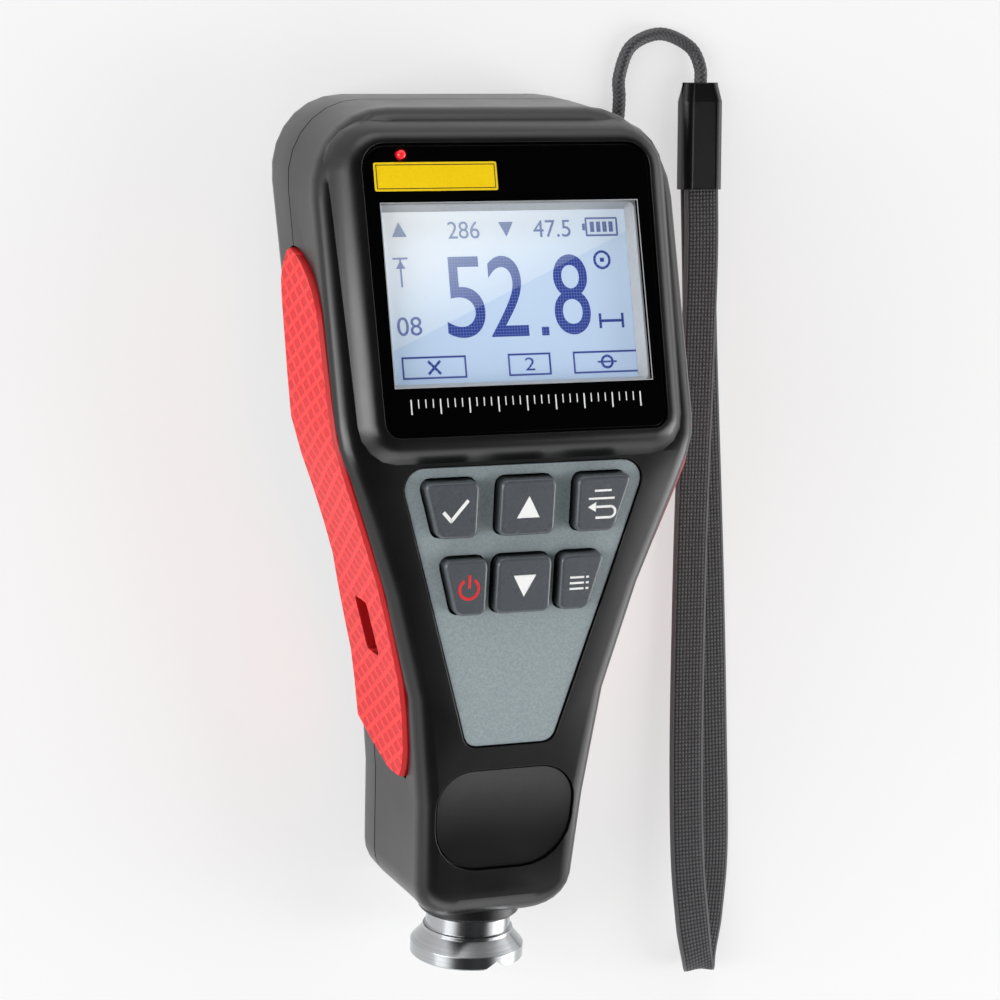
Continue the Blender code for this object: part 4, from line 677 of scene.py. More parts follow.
@dataclass(frozen=True)
class TurnedSteel(Finish):
    """Polished stainless steel from a lathe, with fine rings round the probe's axis.

    The rings of a real cut are about 0.05 mm apart; they are drawn coarser, so that they show.
    """

    pitch: float = 0.22

    def detail(self, tree: bpy.types.NodeTree, shader: bpy.types.Node) -> None:
        """Vary the gloss and the surface along the axis.

        Args:
            tree: the material's node tree.
            shader: its Principled shader.
        """
        place = drawing_place(tree, Plane.GAUGE)
        rings = add_node(
            tree,
            "TexNoise",
            {"Scale": 1 / self.pitch, "Detail": 3.0, "W": place.outputs[1]},
            noise_dimensions="1D",
        )
        rough = add_node(
            tree,
            "Math",
            {0: rings.outputs[0], 1: 0.05, 2: self.roughness - 0.025},
            operation="MULTIPLY_ADD",
        ).outputs[0]
        tree.links.new(rough, shader.inputs["Roughness"])
        tree.links.new(
            add_node(
                tree,
                "Mix",
                {MIX_SHARE: rings.outputs[0], MIX_LOW: self.colour, MIX_HIGH: "#a4a7aa"},
                data_type="RGBA",
            ).outputs[MIX_RESULT],
            shader.inputs["Base Color"],
        )
        soft = add_node(tree, "Bevel", {"Radius": 0.12 * MM}, samples=4)
        bump = add_node(
            tree,
            "Bump",
            {
                "Strength": 0.08,
                "Distance": 0.003 * MM,
                "Height": rings.outputs[0],
                "Normal": soft.outputs[0],
            },
        )
        tree.links.new(bump.outputs[0], shader.inputs["Normal"])


@dataclass(frozen=True)
class BraidedNylon(Finish):
    """Braided polyamide cord: satin strands whose crests are painted paler, a painted highlight."""

    # Colour of the painted highlight on the strands' crests.
    crest: str = "#5e5e61"

    def detail(self, tree: bpy.types.NodeTree, shader: bpy.types.Node) -> None:
        """Colour the strands by their height, which the mesh keeps as an attribute: paler crests as
        painted highlight, darker gaps as painted shade.

        Args:
            tree: the material's node tree.
            shader: its Principled shader.
        """
        height = add_node(tree, "Attribute", attribute_name="strand").outputs["Fac"]
        place = add_node(tree, "TexCoord").outputs["Object"]
        fibre = add_node(
            tree, "TexNoise", {"Scale": 1 / (0.25 * MM), "Detail": 2.0, "Vector": place}
        )
        shade = add_node(
            tree, "Math", {0: fibre.outputs[0], 1: 0.5, 2: -0.2}, operation="MULTIPLY_ADD"
        ).outputs[0]
        shade = add_node(
            tree, "Math", {0: height, 1: 0.8, 2: shade}, operation="MULTIPLY_ADD"
        ).outputs[0]
        # Painted highlight and shade: the higher the strand, the paler its colour.
        tree.links.new(
            add_node(
                tree,
                "Mix",
                {MIX_SHARE: shade, MIX_LOW: self.colour, MIX_HIGH: self.crest},
                data_type="RGBA",
            ).outputs[MIX_RESULT],
            shader.inputs["Base Color"],
        )
        bump = add_node(
            tree, "Bump", {"Strength": 0.5, "Distance": 0.05 * MM, "Height": fibre.outputs[0]}
        )
        tree.links.new(bump.outputs[0], shader.inputs["Normal"])


@dataclass(frozen=True)
class WovenWebbing(Finish):
    """Woven polyester webbing: rows of weft between warp threads, with smoother selvages.

    The UV map holds millimetres across and along the strap.
    """

    # Colour of the painted highlight on the raised weave.
    weave_highlight: str = "#4f4f52"
    selvage: str = "#58585b"
    selvage_width: float = 0.42
    across: float = 0.64
    along: float = 0.66
    half: float = 3.2

    def detail(self, tree: bpy.types.NodeTree, shader: bpy.types.Node) -> None:
        """Draw the weave and the selvages, in colour and relief; the raised weave is painted paler,
        a painted highlight.

        Args:
            tree: the material's node tree.
            shader: its Principled shader.
        """
        flat = add_node(tree, "UVMap", uv_map="strap")
        place = add_node(tree, "SeparateXYZ", {0: flat.outputs[0]})
        waves = []
        for axis, pitch in ((0, self.across), (1, self.along)):
            angle = add_node(
                tree, "Math", {0: place.outputs[axis], 1: math.pi / pitch}, operation="MULTIPLY"
            ).outputs[0]
            waves.append(
                add_node(
                    tree,
                    "Math",
                    {0: add_node(tree, "Math", {0: angle}, operation="SINE").outputs[0]},
                    operation="ABSOLUTE",
                ).outputs[0],
            )
        weave = add_node(tree, "Math", {0: waves[0], 1: waves[1]}, operation="MULTIPLY").outputs[0]
        edge = add_node(tree, "Math", {0: place.outputs[0]}, operation="ABSOLUTE").outputs[0]
        border = add_node(
            tree,
            "MapRange",
            {
                "From Min": self.half - self.selvage_width - 0.1,
                "From Max": self.half - self.selvage_width,
                "Value": edge,
            },
        )
        height = add_node(
            tree, "Math", {0: weave, 1: border.outputs[0]}, operation="MAXIMUM"
        ).outputs[0]
        coords = add_node(tree, "TexCoord").outputs["Object"]
        fibre = add_node(
            tree, "TexNoise", {"Scale": 1 / (0.5 * MM), "Detail": 3.0, "Vector": coords}
        )
        shade = add_node(
            tree, "Math", {0: fibre.outputs[0], 1: 0.4, 2: -0.2}, operation="MULTIPLY_ADD"
        ).outputs[0]
        shade = add_node(tree, "Math", {0: weave, 1: shade}, operation="ADD").outputs[0]
        # Painted highlight: the higher the weave, the paler its colour.
        body = add_node(
            tree,
            "Mix",
            {MIX_SHARE: shade, MIX_LOW: self.colour, MIX_HIGH: self.weave_highlight},
            data_type="RGBA",
        ).outputs[MIX_RESULT]
        tree.links.new(
            add_node(
                tree,
                "Mix",
                {MIX_SHARE: border.outputs[0], MIX_LOW: body, MIX_HIGH: self.selvage},
                data_type="RGBA",
            ).outputs[MIX_RESULT],
            shader.inputs["Base Color"],
        )
        bump = add_node(tree, "Bump", {"Strength": 0.8, "Distance": 0.12 * MM, "Height": height})
        tree.links.new(bump.outputs[0], shader.inputs["Normal"])


@dataclass(frozen=True)
class BackdropPaper(Finish):
    """White seamless paper, part of whose white is its own, so that its shadows stay soft."""

    share: float = 0.58

    def detail(self, tree: bpy.types.NodeTree, shader: bpy.types.Node) -> None:
        """Mix plain white into what the camera, gloss and glass see of the paper.

        Args:
            tree: the material's node tree.
            shader: its Principled shader.
        """
        rays = add_node(tree, "LightPath").outputs
        seen = add_node(
            tree, "Math", {0: rays["Is Camera Ray"], 1: rays["Is Glossy Ray"]}, operation="MAXIMUM"
        ).outputs[0]
        seen = add_node(
            tree, "Math", {0: seen, 1: rays["Is Transmission Ray"]}, operation="MAXIMUM"
        ).outputs[0]
        share = add_node(tree, "Math", {0: seen, 1: self.share}, operation="MULTIPLY").outputs[0]
        white = add_node(tree, "Emission", {"Strength": 1.0})
        mixed = add_node(tree, "MixShader", {0: share, 1: shader.outputs[0], 2: white.outputs[0]})
        tree.links.new(mixed.outputs[0], tree.nodes["Material Output"].inputs["Surface"])


@dataclass(frozen=True)
class PrintedBoard(Finish):
    """Glass-fibre board under green solder resist, with copper tracks showing through."""

    track: str = "#2c8a4d"

    def detail(self, tree: bpy.types.NodeTree, shader: bpy.types.Node) -> None:
        """Draw squared tracks under the resist.

        Args:
            tree: the material's node tree.
            shader: its Principled shader.
        """
        place = add_node(tree, "TexCoord").outputs["Object"]
        cells = add_node(
            tree,
            "TexVoronoi",
            {"Scale": 1 / (2.4 * MM), "Vector": place},
            distance="MANHATTAN",
            feature="F2",
        )
        track = add_node(
            tree, "Math", {0: cells.outputs["Distance"], 1: 0.62}, operation="GREATER_THAN"
        ).outputs[0]
        tree.links.new(
            add_node(
                tree,
                "Mix",
                {MIX_SHARE: track, MIX_LOW: self.colour, MIX_HIGH: self.track},
                data_type="RGBA",
            ).outputs[MIX_RESULT],
            shader.inputs["Base Color"],
        )


@dataclass(frozen=True)
class CellSleeve(Finish):
    """Printed shrink sleeve of a dry cell, with a plain pale band and steel ends."""

    band: str = "#d9dde2"

    def detail(self, tree: bpy.types.NodeTree, shader: bpy.types.Node) -> None:
        """Draw the band near the cell's upper end.

        Args:
            tree: the material's node tree.
            shader: its Principled shader.
        """
        place = drawing_place(tree, Plane.GAUGE)
        shifted = add_node(tree, "Math", {0: place.outputs[1], 1: 15.0}, operation="ADD").outputs[0]
        near = add_node(
            tree,
            "Math",
            {0: add_node(tree, "Math", {0: shifted}, operation="ABSOLUTE").outputs[0], 1: 3.0},
            operation="LESS_THAN",
        ).outputs[0]
        tree.links.new(
            add_node(
                tree,
                "Mix",
                {MIX_SHARE: near, MIX_LOW: self.colour, MIX_HIGH: self.band},
                data_type="RGBA",
            ).outputs[MIX_RESULT],
            shader.inputs["Base Color"],
        )


class Finishes:
    """Every finish of the gauge, each named for its real material."""

    # Soft-touch ABS, moulded: near black, with a dull satin sheen.
    shell = MouldedPlastic("soft_touch_abs", "#080809", 0.3, tone="#0c0c0d", relief=0.006)
    # Thermoplastic rubber, moulded: bright red and matt, with paler ribs as painted highlight and
    # darker diamonds and edge band as painted shade.
    grip = RidgedRubber(
        "red_rubber", "#c2151b", 0.45, sockets=(("Specular IOR Level", 0.3),)
    )
    # Acrylic, printed black from behind: deep black under a hard gloss.
    window = PrintedWindow("acrylic_window", "#020203", 0.06, sockets=(("IOR", 1.35),))
    # ABS, moulded in pale grey: a soft frame round the display.
    bezel = MouldedPlastic("grey_abs_bezel", "#b2b5b8", 0.35, tone="#bcbfc2", grain=0.5, wear=0.03)
    # Liquid-crystal film over a backlight: pale blue that gives some light.
    film = DisplayFilm(
        "display_film", "#b3c8e2", 0.4, sockets=(("Emission Strength", 0.36), ("IOR", 1.3))
    )
    # Switched-on dots of the film: dark blue, with fine lines between them.
    ink = DisplayInk(
        "display_ink", "#263a92", 0.5, sockets=(("Emission Strength", 0.2), ("IOR", 1.3))
    )
    # Clear red lens of a small diode: glossy, and lit a little.
    lamp = MouldedPlastic(
        "lamp_lens",
        "#d80c18",
        0.12,
        tone="#f02a34",
        relief=0.0,
        sockets=(("Emission Color", (1.0, 0.02, 0.03, 1.0)), ("Emission Strength", 0.35)),
    )
    # Painted ABS plate: fine-grained blue grey without gloss.
    panel = MouldedPlastic(
        "painted_panel",
        "#89959a",
        0.5,
        tone="#97a3a5",
        grain=0.42,
        clouding=0.08,
        relief=0.018,
    )
    # Silicone rubber, moulded and coated: dark grey, with painted shade that darkens it down its
    # sides.
    key = ShadedPlastic(
        "silicone_key",
        "#484c51",
        0.28,
        tone="#4f5459",
        grain=0.4,
        clouding=0.05,
        relief=0.006,
        edge=0.1,
        start=1.55,
        end=0.4,
        shade_colour="#1c1e20",
    )
    # Rubber inlay: charcoal, with painted shade that darkens it towards the probe.
    pad = ShadedPlastic(
        "rubber_pad",
        "#4b4b4c",
        0.4,
        tone="#515152",
        relief=0.01,
        plane=Plane.GAUGE,
        axis=1,
        start=-42.0,
        end=-61.0,
        shade_colour="#000000",
        sockets=(("Specular IOR Level", 0.3),),
    )
    # Stainless steel, turned and polished: bright, with fine rings.
    steel = TurnedSteel("polished_steel", "#bcbec0", 0.21, 1.0)
    # Zinc-plated steel: a duller grey metal.
    fastener = TurnedSteel("zinc_steel", "#a7aaad", 0.3, 1.0)
    # Nickel brass, turned: a warm pale metal.
    brass = TurnedSteel("nickel_brass", "#c9b27a", 0.3, 1.0)
    # Glass-filled nylon, moulded: black with a faint gloss.
    neck = MouldedPlastic("glass_filled_nylon", "#0d0d0e", 0.34, tone="#131314", relief=0.01)
    # Plain ABS, moulded: dull black, never seen from outside.
    inner = MouldedPlastic("plain_abs", "#161617", 0.6, tone="#1d1d1e")
    # Silicone mat, moulded: milky grey and matt.
    mat = MouldedPlastic("silicone_mat", "#b3b6b7", 0.7, tone="#c0c3c4")
    # Glass-fibre board: green resist over lighter tracks.
    board = PrintedBoard("printed_board", "#1b6036", 0.4)
    # Dry cell in a shrink sleeve: blue with one pale band.
    cell = CellSleeve("cell_sleeve", "#2f4f8a", 0.35)
    # Polyamide cord, braided: black strands, with the crests painted grey as painted highlight.
    cord = BraidedNylon("braided_nylon", "#060607", 0.5, sockets=(("Sheen Weight", 0.05),))
    # Polyester webbing, woven: black, with the raised weave painted grey as painted highlight.
    strap = WovenWebbing("woven_webbing", "#0a0a0b", 0.65, sockets=(("Sheen Weight", 0.05),))
    # ABS clasp, moulded: black, smoother than the shells.
    clasp = MouldedPlastic("clasp_abs", "#070708", 0.3, tone="#0b0b0c", relief=0.006, edge=0.25)
    # Screen-printing ink, white: opaque and matt.
    white_print = MouldedPlastic("white_print", "#f2f2f0", 0.5, tone="#fafafa", relief=0.0)
    # Screen-printing ink, red: opaque and matt.
    red_print = MouldedPlastic("red_print", "#d3151d", 0.5, tone="#dd1c24", relief=0.0)
    # Vinyl label, yellow: flat and slightly glossy.
    yellow_print = MouldedPlastic("yellow_label", "#f8cf00", 0.35, tone="#ffd90d", relief=0.0)
    # Screen-printing ink, black: opaque, with a faint gloss.
    black_print = MouldedPlastic("black_print", "#0b0b0c", 0.45, tone="#121213", relief=0.0)
    # Seamless paper: white and quite matt.
    floor = BackdropPaper("seamless_paper", "#f6f6f6", 0.9)


def body_of(node: str) -> str:
    """Name of the body that carries a CAD node.

    Args:
        node: the CAD node.

    Returns:
        The body's name.
    """
    for body, members in frame["record"]["behaviour"]["bodies"].items():
        if node in members:
            return body
    raise ValueError(node)


def finished(mesh: bmesh.types.BMesh, crease: float = CREASE) -> None:
    """Shade a mesh smoothly, with sharp edges where its faces turn by more than crease.

    Args:
        mesh: the mesh.
        crease: the smallest turn, in radians, that stays sharp.
    """
    for face in mesh.faces:
        face.smooth = True
    for edge in mesh.edges:
        edge.smooth = len(edge.link_faces) == 2 and edge.calc_face_angle(math.pi) < crease


def add_piece(
    name: str,
    mesh: bmesh.types.BMesh,
    finish: Finish,
    body: str,
    stands_for: tuple[str, ...] = (),
    weighted: bool = True,
) -> bpy.types.Object:
    """Turn a finished bmesh into a piece that rides on a body.

    Args:
        name: the piece's name.
        mesh: its geometry in the frame of the part, freed afterwards.
        finish: its finish.
        body: the body that it rides on.
        stands_for: the CAD nodes that it replaces.
        weighted: whether large faces keep their own shading.

    Returns:
        The new object.
    """
    data = bpy.data.meshes.new(name)
    mesh.to_mesh(data)
    mesh.free()
    data.materials.append(finish.material())
    made = bpy.data.objects.new(name, data)
    bpy.context.scene.collection.objects.link(made)
    if weighted:
        modifier = made.modifiers.new("weighted", "WEIGHTED_NORMAL")
        modifier.keep_sharp = True
    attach(made, body)
    if stands_for:
        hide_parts(*stands_for)
    LOG.info("%s: %d faces on %s", name, len(data.polygons), body)
    return made


def smooth_copy(
    name: str, node: str, finish: Finish, weighted: bool = True
) -> bpy.types.Object:
    """Replace a CAD node by a merged copy with smooth shading.

    Args:
        name: the new piece's name.
        node: the CAD node.
        finish: its finish.
        weighted: whether large faces keep their own shading.

    Returns:
        The new object.
    """
    mesh = bmesh.new()
    mesh.from_mesh(frame["nodes"][node].data)
    bmesh.ops.remove_doubles(mesh, verts=mesh.verts, dist=0.01 * MM)
    bmesh.ops.dissolve_limit(
        mesh, angle_limit=math.radians(0.3), verts=mesh.verts, edges=mesh.edges
    )
    finished(mesh)
    return add_piece(name, mesh, finish, body_of(node), (node,), weighted)


def dress(node: str, finish: Finish) -> None:
    """Give a CAD node its material.

    Args:
        node: the CAD node.
        finish: its finish.
    """
    data = frame["nodes"][node].data
    if data.materials:
        for index in range(len(data.materials)):
            data.materials[index] = finish.material()
    else:
        data.materials.append(finish.material())
    LOG.info("%s keeps its CAD shape", node)


def rounded_plate(
    corners: tuple[tuple[float, float], ...],
    radius: float,
    low: float,
    high: float,
    edge: float = 0.0,
) -> bmesh.types.BMesh:
    """Plate with rounded corners and a rounded upper edge, in millimetres.

    Args:
        corners: its corners, counter-clockwise.
        radius: distance from a corner at which its rounding starts.
        low: height of its lower face.
        high: height of its upper face.
        edge: size of the rounding round the upper face.

    Returns:
        The plate's mesh.
    """
    mesh = bmesh.new()
    mesh.faces.new([mesh.verts.new((x, y, low)) for x, y in corners])
    bmesh.ops.bevel(
        mesh,
        geom=list(mesh.verts),
        offset=radius,
        offset_type="OFFSET",
        segments=6,
        profile=0.5,
        affect="VERTICES",
        material=-1,
    )
    grown = bmesh.ops.extrude_face_region(mesh, geom=list(mesh.faces))
    raised = [item for item in grown["geom"] if isinstance(item, bmesh.types.BMVert)]
    bmesh.ops.translate(mesh, verts=raised, vec=(0.0, 0.0, high - low))
    bmesh.ops.recalc_face_normals(mesh, faces=mesh.faces)
    if edge > 0:
        rim = [e for e in mesh.edges if all(v.co.z > (low + high) / 2 for v in e.verts)]
        bmesh.ops.bevel(
            mesh,
            geom=rim,
            offset=edge,
            offset_type="OFFSET",
            segments=4,
            profile=0.5,
            affect="EDGES",
            clamp_overlap=True,
            material=-1,
        )
    return mesh


class Mark:
    """A flat printed mark, drawn in millimetres on a plane."""

    def __init__(self) -> None:
        """Start an empty mark."""
        self.mesh = bmesh.new()

    def bar(self, x: float, y: float, length: float, width: float, turn: float = 0.0) -> None:
        """Add a bar about its centre, turned by an angle in degrees.

        Args:
            x: its centre across.
            y: its centre along.
            length: its length.
            width: its width.
            turn: its turn in degrees.
        """
        place = Matrix.Translation((x, y, 0.0)) @ Matrix.Rotation(math.radians(turn), 4, "Z")
        size = Matrix.Diagonal((length, width, 1.0, 1.0))
        bmesh.ops.create_grid(
            self.mesh, x_segments=1, y_segments=1, size=0.5, matrix=place @ size
        )

    def stroke(self, start: tuple[float, float], end: tuple[float, float], width: float) -> None:
        """Add a bar from one point to another.

        Args:
            start: the middle of its first end.
            end: the middle of its other end.
            width: its width.
        """
        run = Vector(end) - Vector(start)
        middle = (Vector(start) + Vector(end)) / 2
        turn = math.degrees(math.atan2(run.y, run.x))
        self.bar(middle.x, middle.y, run.length, width, turn)

    def polygon(
        self, x: float, y: float, sides: int, width: float, height: float, turn: float = 0.0
    ) -> None:
        """Add a regular polygon, stretched to a width and height across its radius.

        Args:
            x: its centre across.
            y: its centre along.
            sides: how many sides it has.
            width: its radius across.
            height: its radius along.
            turn: where its first corner points, in degrees.
        """
        place = Matrix.Translation((x, y, 0.0))
        size = Matrix.Diagonal((width, height, 1.0, 1.0))
        spin = Matrix.Rotation(math.radians(turn - 90), 4, "Z")
        bmesh.ops.create_circle(
            self.mesh, cap_ends=True, segments=sides, radius=1.0, matrix=place @ size @ spin
        )

    def arc(
        self, x: float, y: float, radius: float, width: float, start: float, sweep: float
    ) -> None:
        """Add a curved bar about a centre, from an angle and over a sweep in degrees.

        Args:
            x: its centre across.
            y: its centre along.
            radius: radius of its middle line.
            width: its width.
            start: the angle at which it starts, in degrees.
            sweep: the angle that it covers, in degrees.
        """
        heading = Vector((math.cos(math.radians(start)), math.sin(math.radians(start)), 0.0))
        centre = Vector((x, y, 0.0))
        inner = self.mesh.verts.new(centre + heading * (radius - width / 2))
        outer = self.mesh.verts.new(centre + heading * (radius + width / 2))
        edge = self.mesh.edges.new((inner, outer))
        bmesh.ops.spin(
            self.mesh,
            geom=[inner, outer, edge],
            cent=centre,
            axis=(0.0, 0.0, 1.0),
            angle=math.radians(sweep),
            steps=28,
            use_merge=abs(sweep) >= 360,
        )

    def number(self, text: str, x: float, y: float, width: float, height: float) -> None:
        """Add plain digits whose box starts at x, y and has a width and height.

        Args:
            text: the digits.
            x: left side of their box.
            y: lower side of their box.
            width: width of their box.
            height: height of their box.
        """
        curve = bpy.data.curves.new("digits", "FONT")
        curve.body = text
        holder = bpy.data.objects.new("digits", curve)
        bpy.context.scene.collection.objects.link(holder)
        bpy.context.view_layer.update()
        shape = bpy.data.meshes.new_from_object(holder)
        bpy.data.objects.remove(holder)
        low = [min(v.co[axis] for v in shape.vertices) for axis in (0, 1)]
        high = [max(v.co[axis] for v in shape.vertices) for axis in (0, 1)]
        size = (width / (high[0] - low[0]), height / (high[1] - low[1]))
        shape.transform(Matrix.Translation((-low[0], -low[1], 0.0)))
        shape.transform(Matrix.Diagonal((size[0], size[1], 1.0, 1.0)))
        shape.transform(Matrix.Translation((x, y, 0.0)))
        self.mesh.from_mesh(shape)
        bpy.data.meshes.remove(shape)

    def placed(self, plane: Matrix, height: float) -> bmesh.types.BMesh:
        """Thicken the mark, put it on its plane and return its mesh.

        Args:
            plane: matrix from the plane's millimetres to the frame of the part.
            height: height of the surface that the mark is printed on, in millimetres.

        Returns:
            The mark's mesh.
        """
        grown = bmesh.ops.extrude_face_region(self.mesh, geom=list(self.mesh.faces))
        raised = [item for item in grown["geom"] if isinstance(item, bmesh.types.BMVert)]
        bmesh.ops.translate(self.mesh, verts=raised, vec=(0.0, 0.0, PRINT_THICKNESS))
        bmesh.ops.recalc_face_normals(self.mesh, faces=self.mesh.faces)
        bmesh.ops.transform(
            self.mesh, matrix=plane @ Matrix.Translation((0, 0, height)), verts=self.mesh.verts
        )
        finished(self.mesh)
        return self.mesh


def smooth_route(points: tuple[tuple[float, float, float], ...], per_span: int) -> list[Vector]:
    """Points along a smooth curve through the given ones.

    Args:
        points: the route's points in metres.
        per_span: points made for each span.

    Returns:
        The finer route.
    """
    known = [Vector(point) for point in points]
    ends = [known[0] * 2 - known[1], *known, known[-1] * 2 - known[-2]]
    route = []
    for a, b, c, d in zip(ends, ends[1:], ends[2:], ends[3:]):
        for step in range(per_span):
            t = step / per_span
            place = 2 * b + (c - a) * t
            place += (2 * a - 5 * b + 4 * c - d) * t * t + (3 * b - a - 3 * c + d) * t**3
            route.append(place / 2)
    route.append(known[-1].copy())
    return route


def run_lengths(route: list[Vector]) -> list[float]:
    """Distance along a route to each of its points.

    Args:
        route: the route's points.

    Returns:
        The distances in metres.
    """
    lengths = [0.0]
    for here, there in zip(route, route[1:]):
        lengths.append(lengths[-1] + (there - here).length)
    return lengths


def sweep_section(
    mesh: bmesh.types.BMesh,
    section: list[Vector],
    route: list[Vector],
    sides: list[Vector],
) -> list[list[bmesh.types.BMVert]]:
    """Extrude a closed section along a route and close its ends.

    Args:
        mesh: the mesh that receives it.
        section: the section's points, x across and y up.
        route: the points that it follows.
        sides: the direction of the section's x at each point.

    Returns:
        The rings of vertices, in order.
    """
    rings = []
    loop = [mesh.verts.new(point.to_3d()) for point in section]
    edges = [mesh.edges.new((a, b)) for a, b in zip(loop, loop[1:] + loop[:1])]
    for index, here in enumerate(route):
        if index:
            grown = bmesh.ops.extrude_edge_only(mesh, edges=edges)["geom"]
            fresh = {item for item in grown if isinstance(item, bmesh.types.BMVert)}
            loop = [
                next(e.other_vert(v) for e in v.link_edges if e.other_vert(v) in fresh)
                for v in loop
            ]
            edges = [mesh.edges.get((a, b)) for a, b in zip(loop, loop[1:] + loop[:1])]
        before = route[max(index - 1, 0)]
        after = route[min(index + 1, len(route) - 1)]
        tangent = (after - before).normalized()
        across = (sides[index] - tangent * sides[index].dot(tangent)).normalized()
        up = across.cross(tangent).normalized()
        for vert, point in zip(loop, section):
            vert.co = here + across * point.x + up * point.y
        rings.append(loop)
    mesh.faces.new(rings[0])
    mesh.faces.new(list(reversed(rings[-1])))
    bmesh.ops.recalc_face_normals(mesh, faces=mesh.faces)
    return rings


@dataclass
class Studio:
    """Camera at the photograph's angle, pale floor and soft light.

    The camera's lens and centre are in pixels of the image. Each softbox has a name, its place
    and size in metres and its power in watts.
    """

    focal: float = 3499.5839
    pixels_per_mm: float = 6.1
    turn: float = 0.4195738
    nod: float = 0.2226501
    roll: float = -0.0507107
    centre: tuple[float, float] = (487.46146, 465.93224)
    image: float = 1000.0
    target: float = 1.3
    sensor: float = 36.0
    sky_level: float = 1.95
    sky_dark: float = 0.04
    sky_start: float = 0.30
    sky_end: float = 0.66
    sky_panels: float = 4.0
    sky_contrast: float = 0.45
    aim: tuple[float, float, float] = (0.0, 0.0, 0.02)
    softboxes: tuple = (
        ("left_softbox", (-0.70, 0.02, 0.28), (0.34, 0.90), 5.2),
        ("right_softbox", (0.70, -0.20, 0.36), (0.34, 0.80), 3.3),
        ("handle_softbox", (0.27, -0.20, 0.30), (0.12, 0.26), 0.10),
    )
    floor_half: float = 2.0

    def camera(self) -> None:
        """Place the camera in the gauge's own frame and make it the scene's."""
        view = Matrix.Rotation(self.roll, 3, "Z") @ Matrix.Rotation(self.nod, 3, "X")
        view = view @ Matrix.Rotation(self.turn, 3, "Y")
        away = Vector((0.0, 0.0, self.focal / self.pixels_per_mm))
        place = view.transposed() @ away - Vector((0.0, 0.0, self.target))
        data = bpy.data.cameras.new("camera")
        data.sensor_width = self.sensor
        data.lens = self.focal / self.image * self.sensor
        data.shift_x = (self.image / 2 - self.centre[0]) / self.image
        data.shift_y = (self.centre[1] - self.image / 2) / self.image
        data.clip_start = 0.01
        camera = bpy.data.objects.new("camera", data)
        pose = Matrix.Translation(place * MM) @ view.transposed().to_4x4()
        camera.matrix_world = Plane.GAUGE.matrix @ pose
        bpy.context.scene.collection.objects.link(camera)
        bpy.context.scene.camera = camera

    def softbox(
        self,
        name: str,
        place: tuple[float, float, float],
        size: tuple[float, float],
        power: float,
    ) -> None:
        """Add a rectangular lamp that faces the gauge.

        Args:
            name: the lamp's name.
            place: its place in metres.
            size: its width and height in metres.
            power: its power in watts.
        """
        data = bpy.data.lights.new(name, "AREA")
        data.shape = "RECTANGLE"
        data.size, data.size_y = size
        data.energy = power
        lamp = bpy.data.objects.new(name, data)
        heading = Vector(place) - Vector(self.aim)
        turn = heading.to_track_quat("Z", "Y").to_matrix().to_4x4()
        lamp.matrix_world = Matrix.Translation(place) @ turn
        bpy.context.scene.collection.objects.link(lamp)

    def lamps(self) -> None:
        """Light both long sides of the gauge and leave the sky over it dark."""
        for name, place, size, power in self.softboxes:
            self.softbox(name, place, size, power)

    def sky(self) -> None:
        """Make a pale surround of four soft panels that is dark overhead."""
        world = bpy.data.worlds.new("studio")
        bpy.context.scene.world = world
        world.use_nodes = True
        tree = world.node_tree
        tree.nodes.clear()
        direction = add_node(tree, "TexCoord").outputs["Generated"]
        parts = add_node(tree, "SeparateXYZ", {0: direction})
        falling = add_node(
            tree,
            "MapRange",
            {
                "From Min": self.sky_start,
                "From Max": self.sky_end,
                "To Min": self.sky_level,
                "To Max": self.sky_dark,
                "Value": parts.outputs[2],
            },
            interpolation_type="SMOOTHSTEP",
        ).outputs[0]
        turn = add_node(
            tree, "Math", {0: parts.outputs[1], 1: parts.outputs[0]}, operation="ARCTAN2"
        ).outputs[0]
        wave = add_node(
            tree,
            "Math",
            {
                0: add_node(
                    tree, "Math", {0: turn, 1: self.sky_panels}, operation="MULTIPLY"
                ).outputs[0],
            },
            operation="COSINE",
        ).outputs[0]
        panels = add_node(
            tree, "Math", {0: wave, 1: self.sky_contrast, 2: 1.0}, operation="MULTIPLY_ADD"
        ).outputs[0]
        level = add_node(tree, "Math", {0: falling, 1: panels}, operation="MULTIPLY").outputs[0]
        glow = add_node(tree, "Background", {"Color": "#ffffff", "Strength": level})
        add_node(tree, "OutputWorld", {"Surface": glow.outputs[0]})

    def floor(self) -> None:
        """Lay a wide sheet of pale paper under the gauge."""
        mesh = bmesh.new()
        bmesh.ops.create_grid(mesh, x_segments=2, y_segments=2, size=self.floor_half)
        data = bpy.data.meshes.new("floor")
        mesh.to_mesh(data)
        mesh.free()
        data.materials.append(Finishes.floor.material())
        paper = bpy.data.objects.new("floor", data)
        bpy.context.scene.collection.objects.link(paper)

    def build(self) -> None:
        """Set up the whole studio."""
        self.camera()
        self.lamps()
        self.sky()
        self.floor()
        bpy.context.scene.view_settings.view_transform = "Standard"


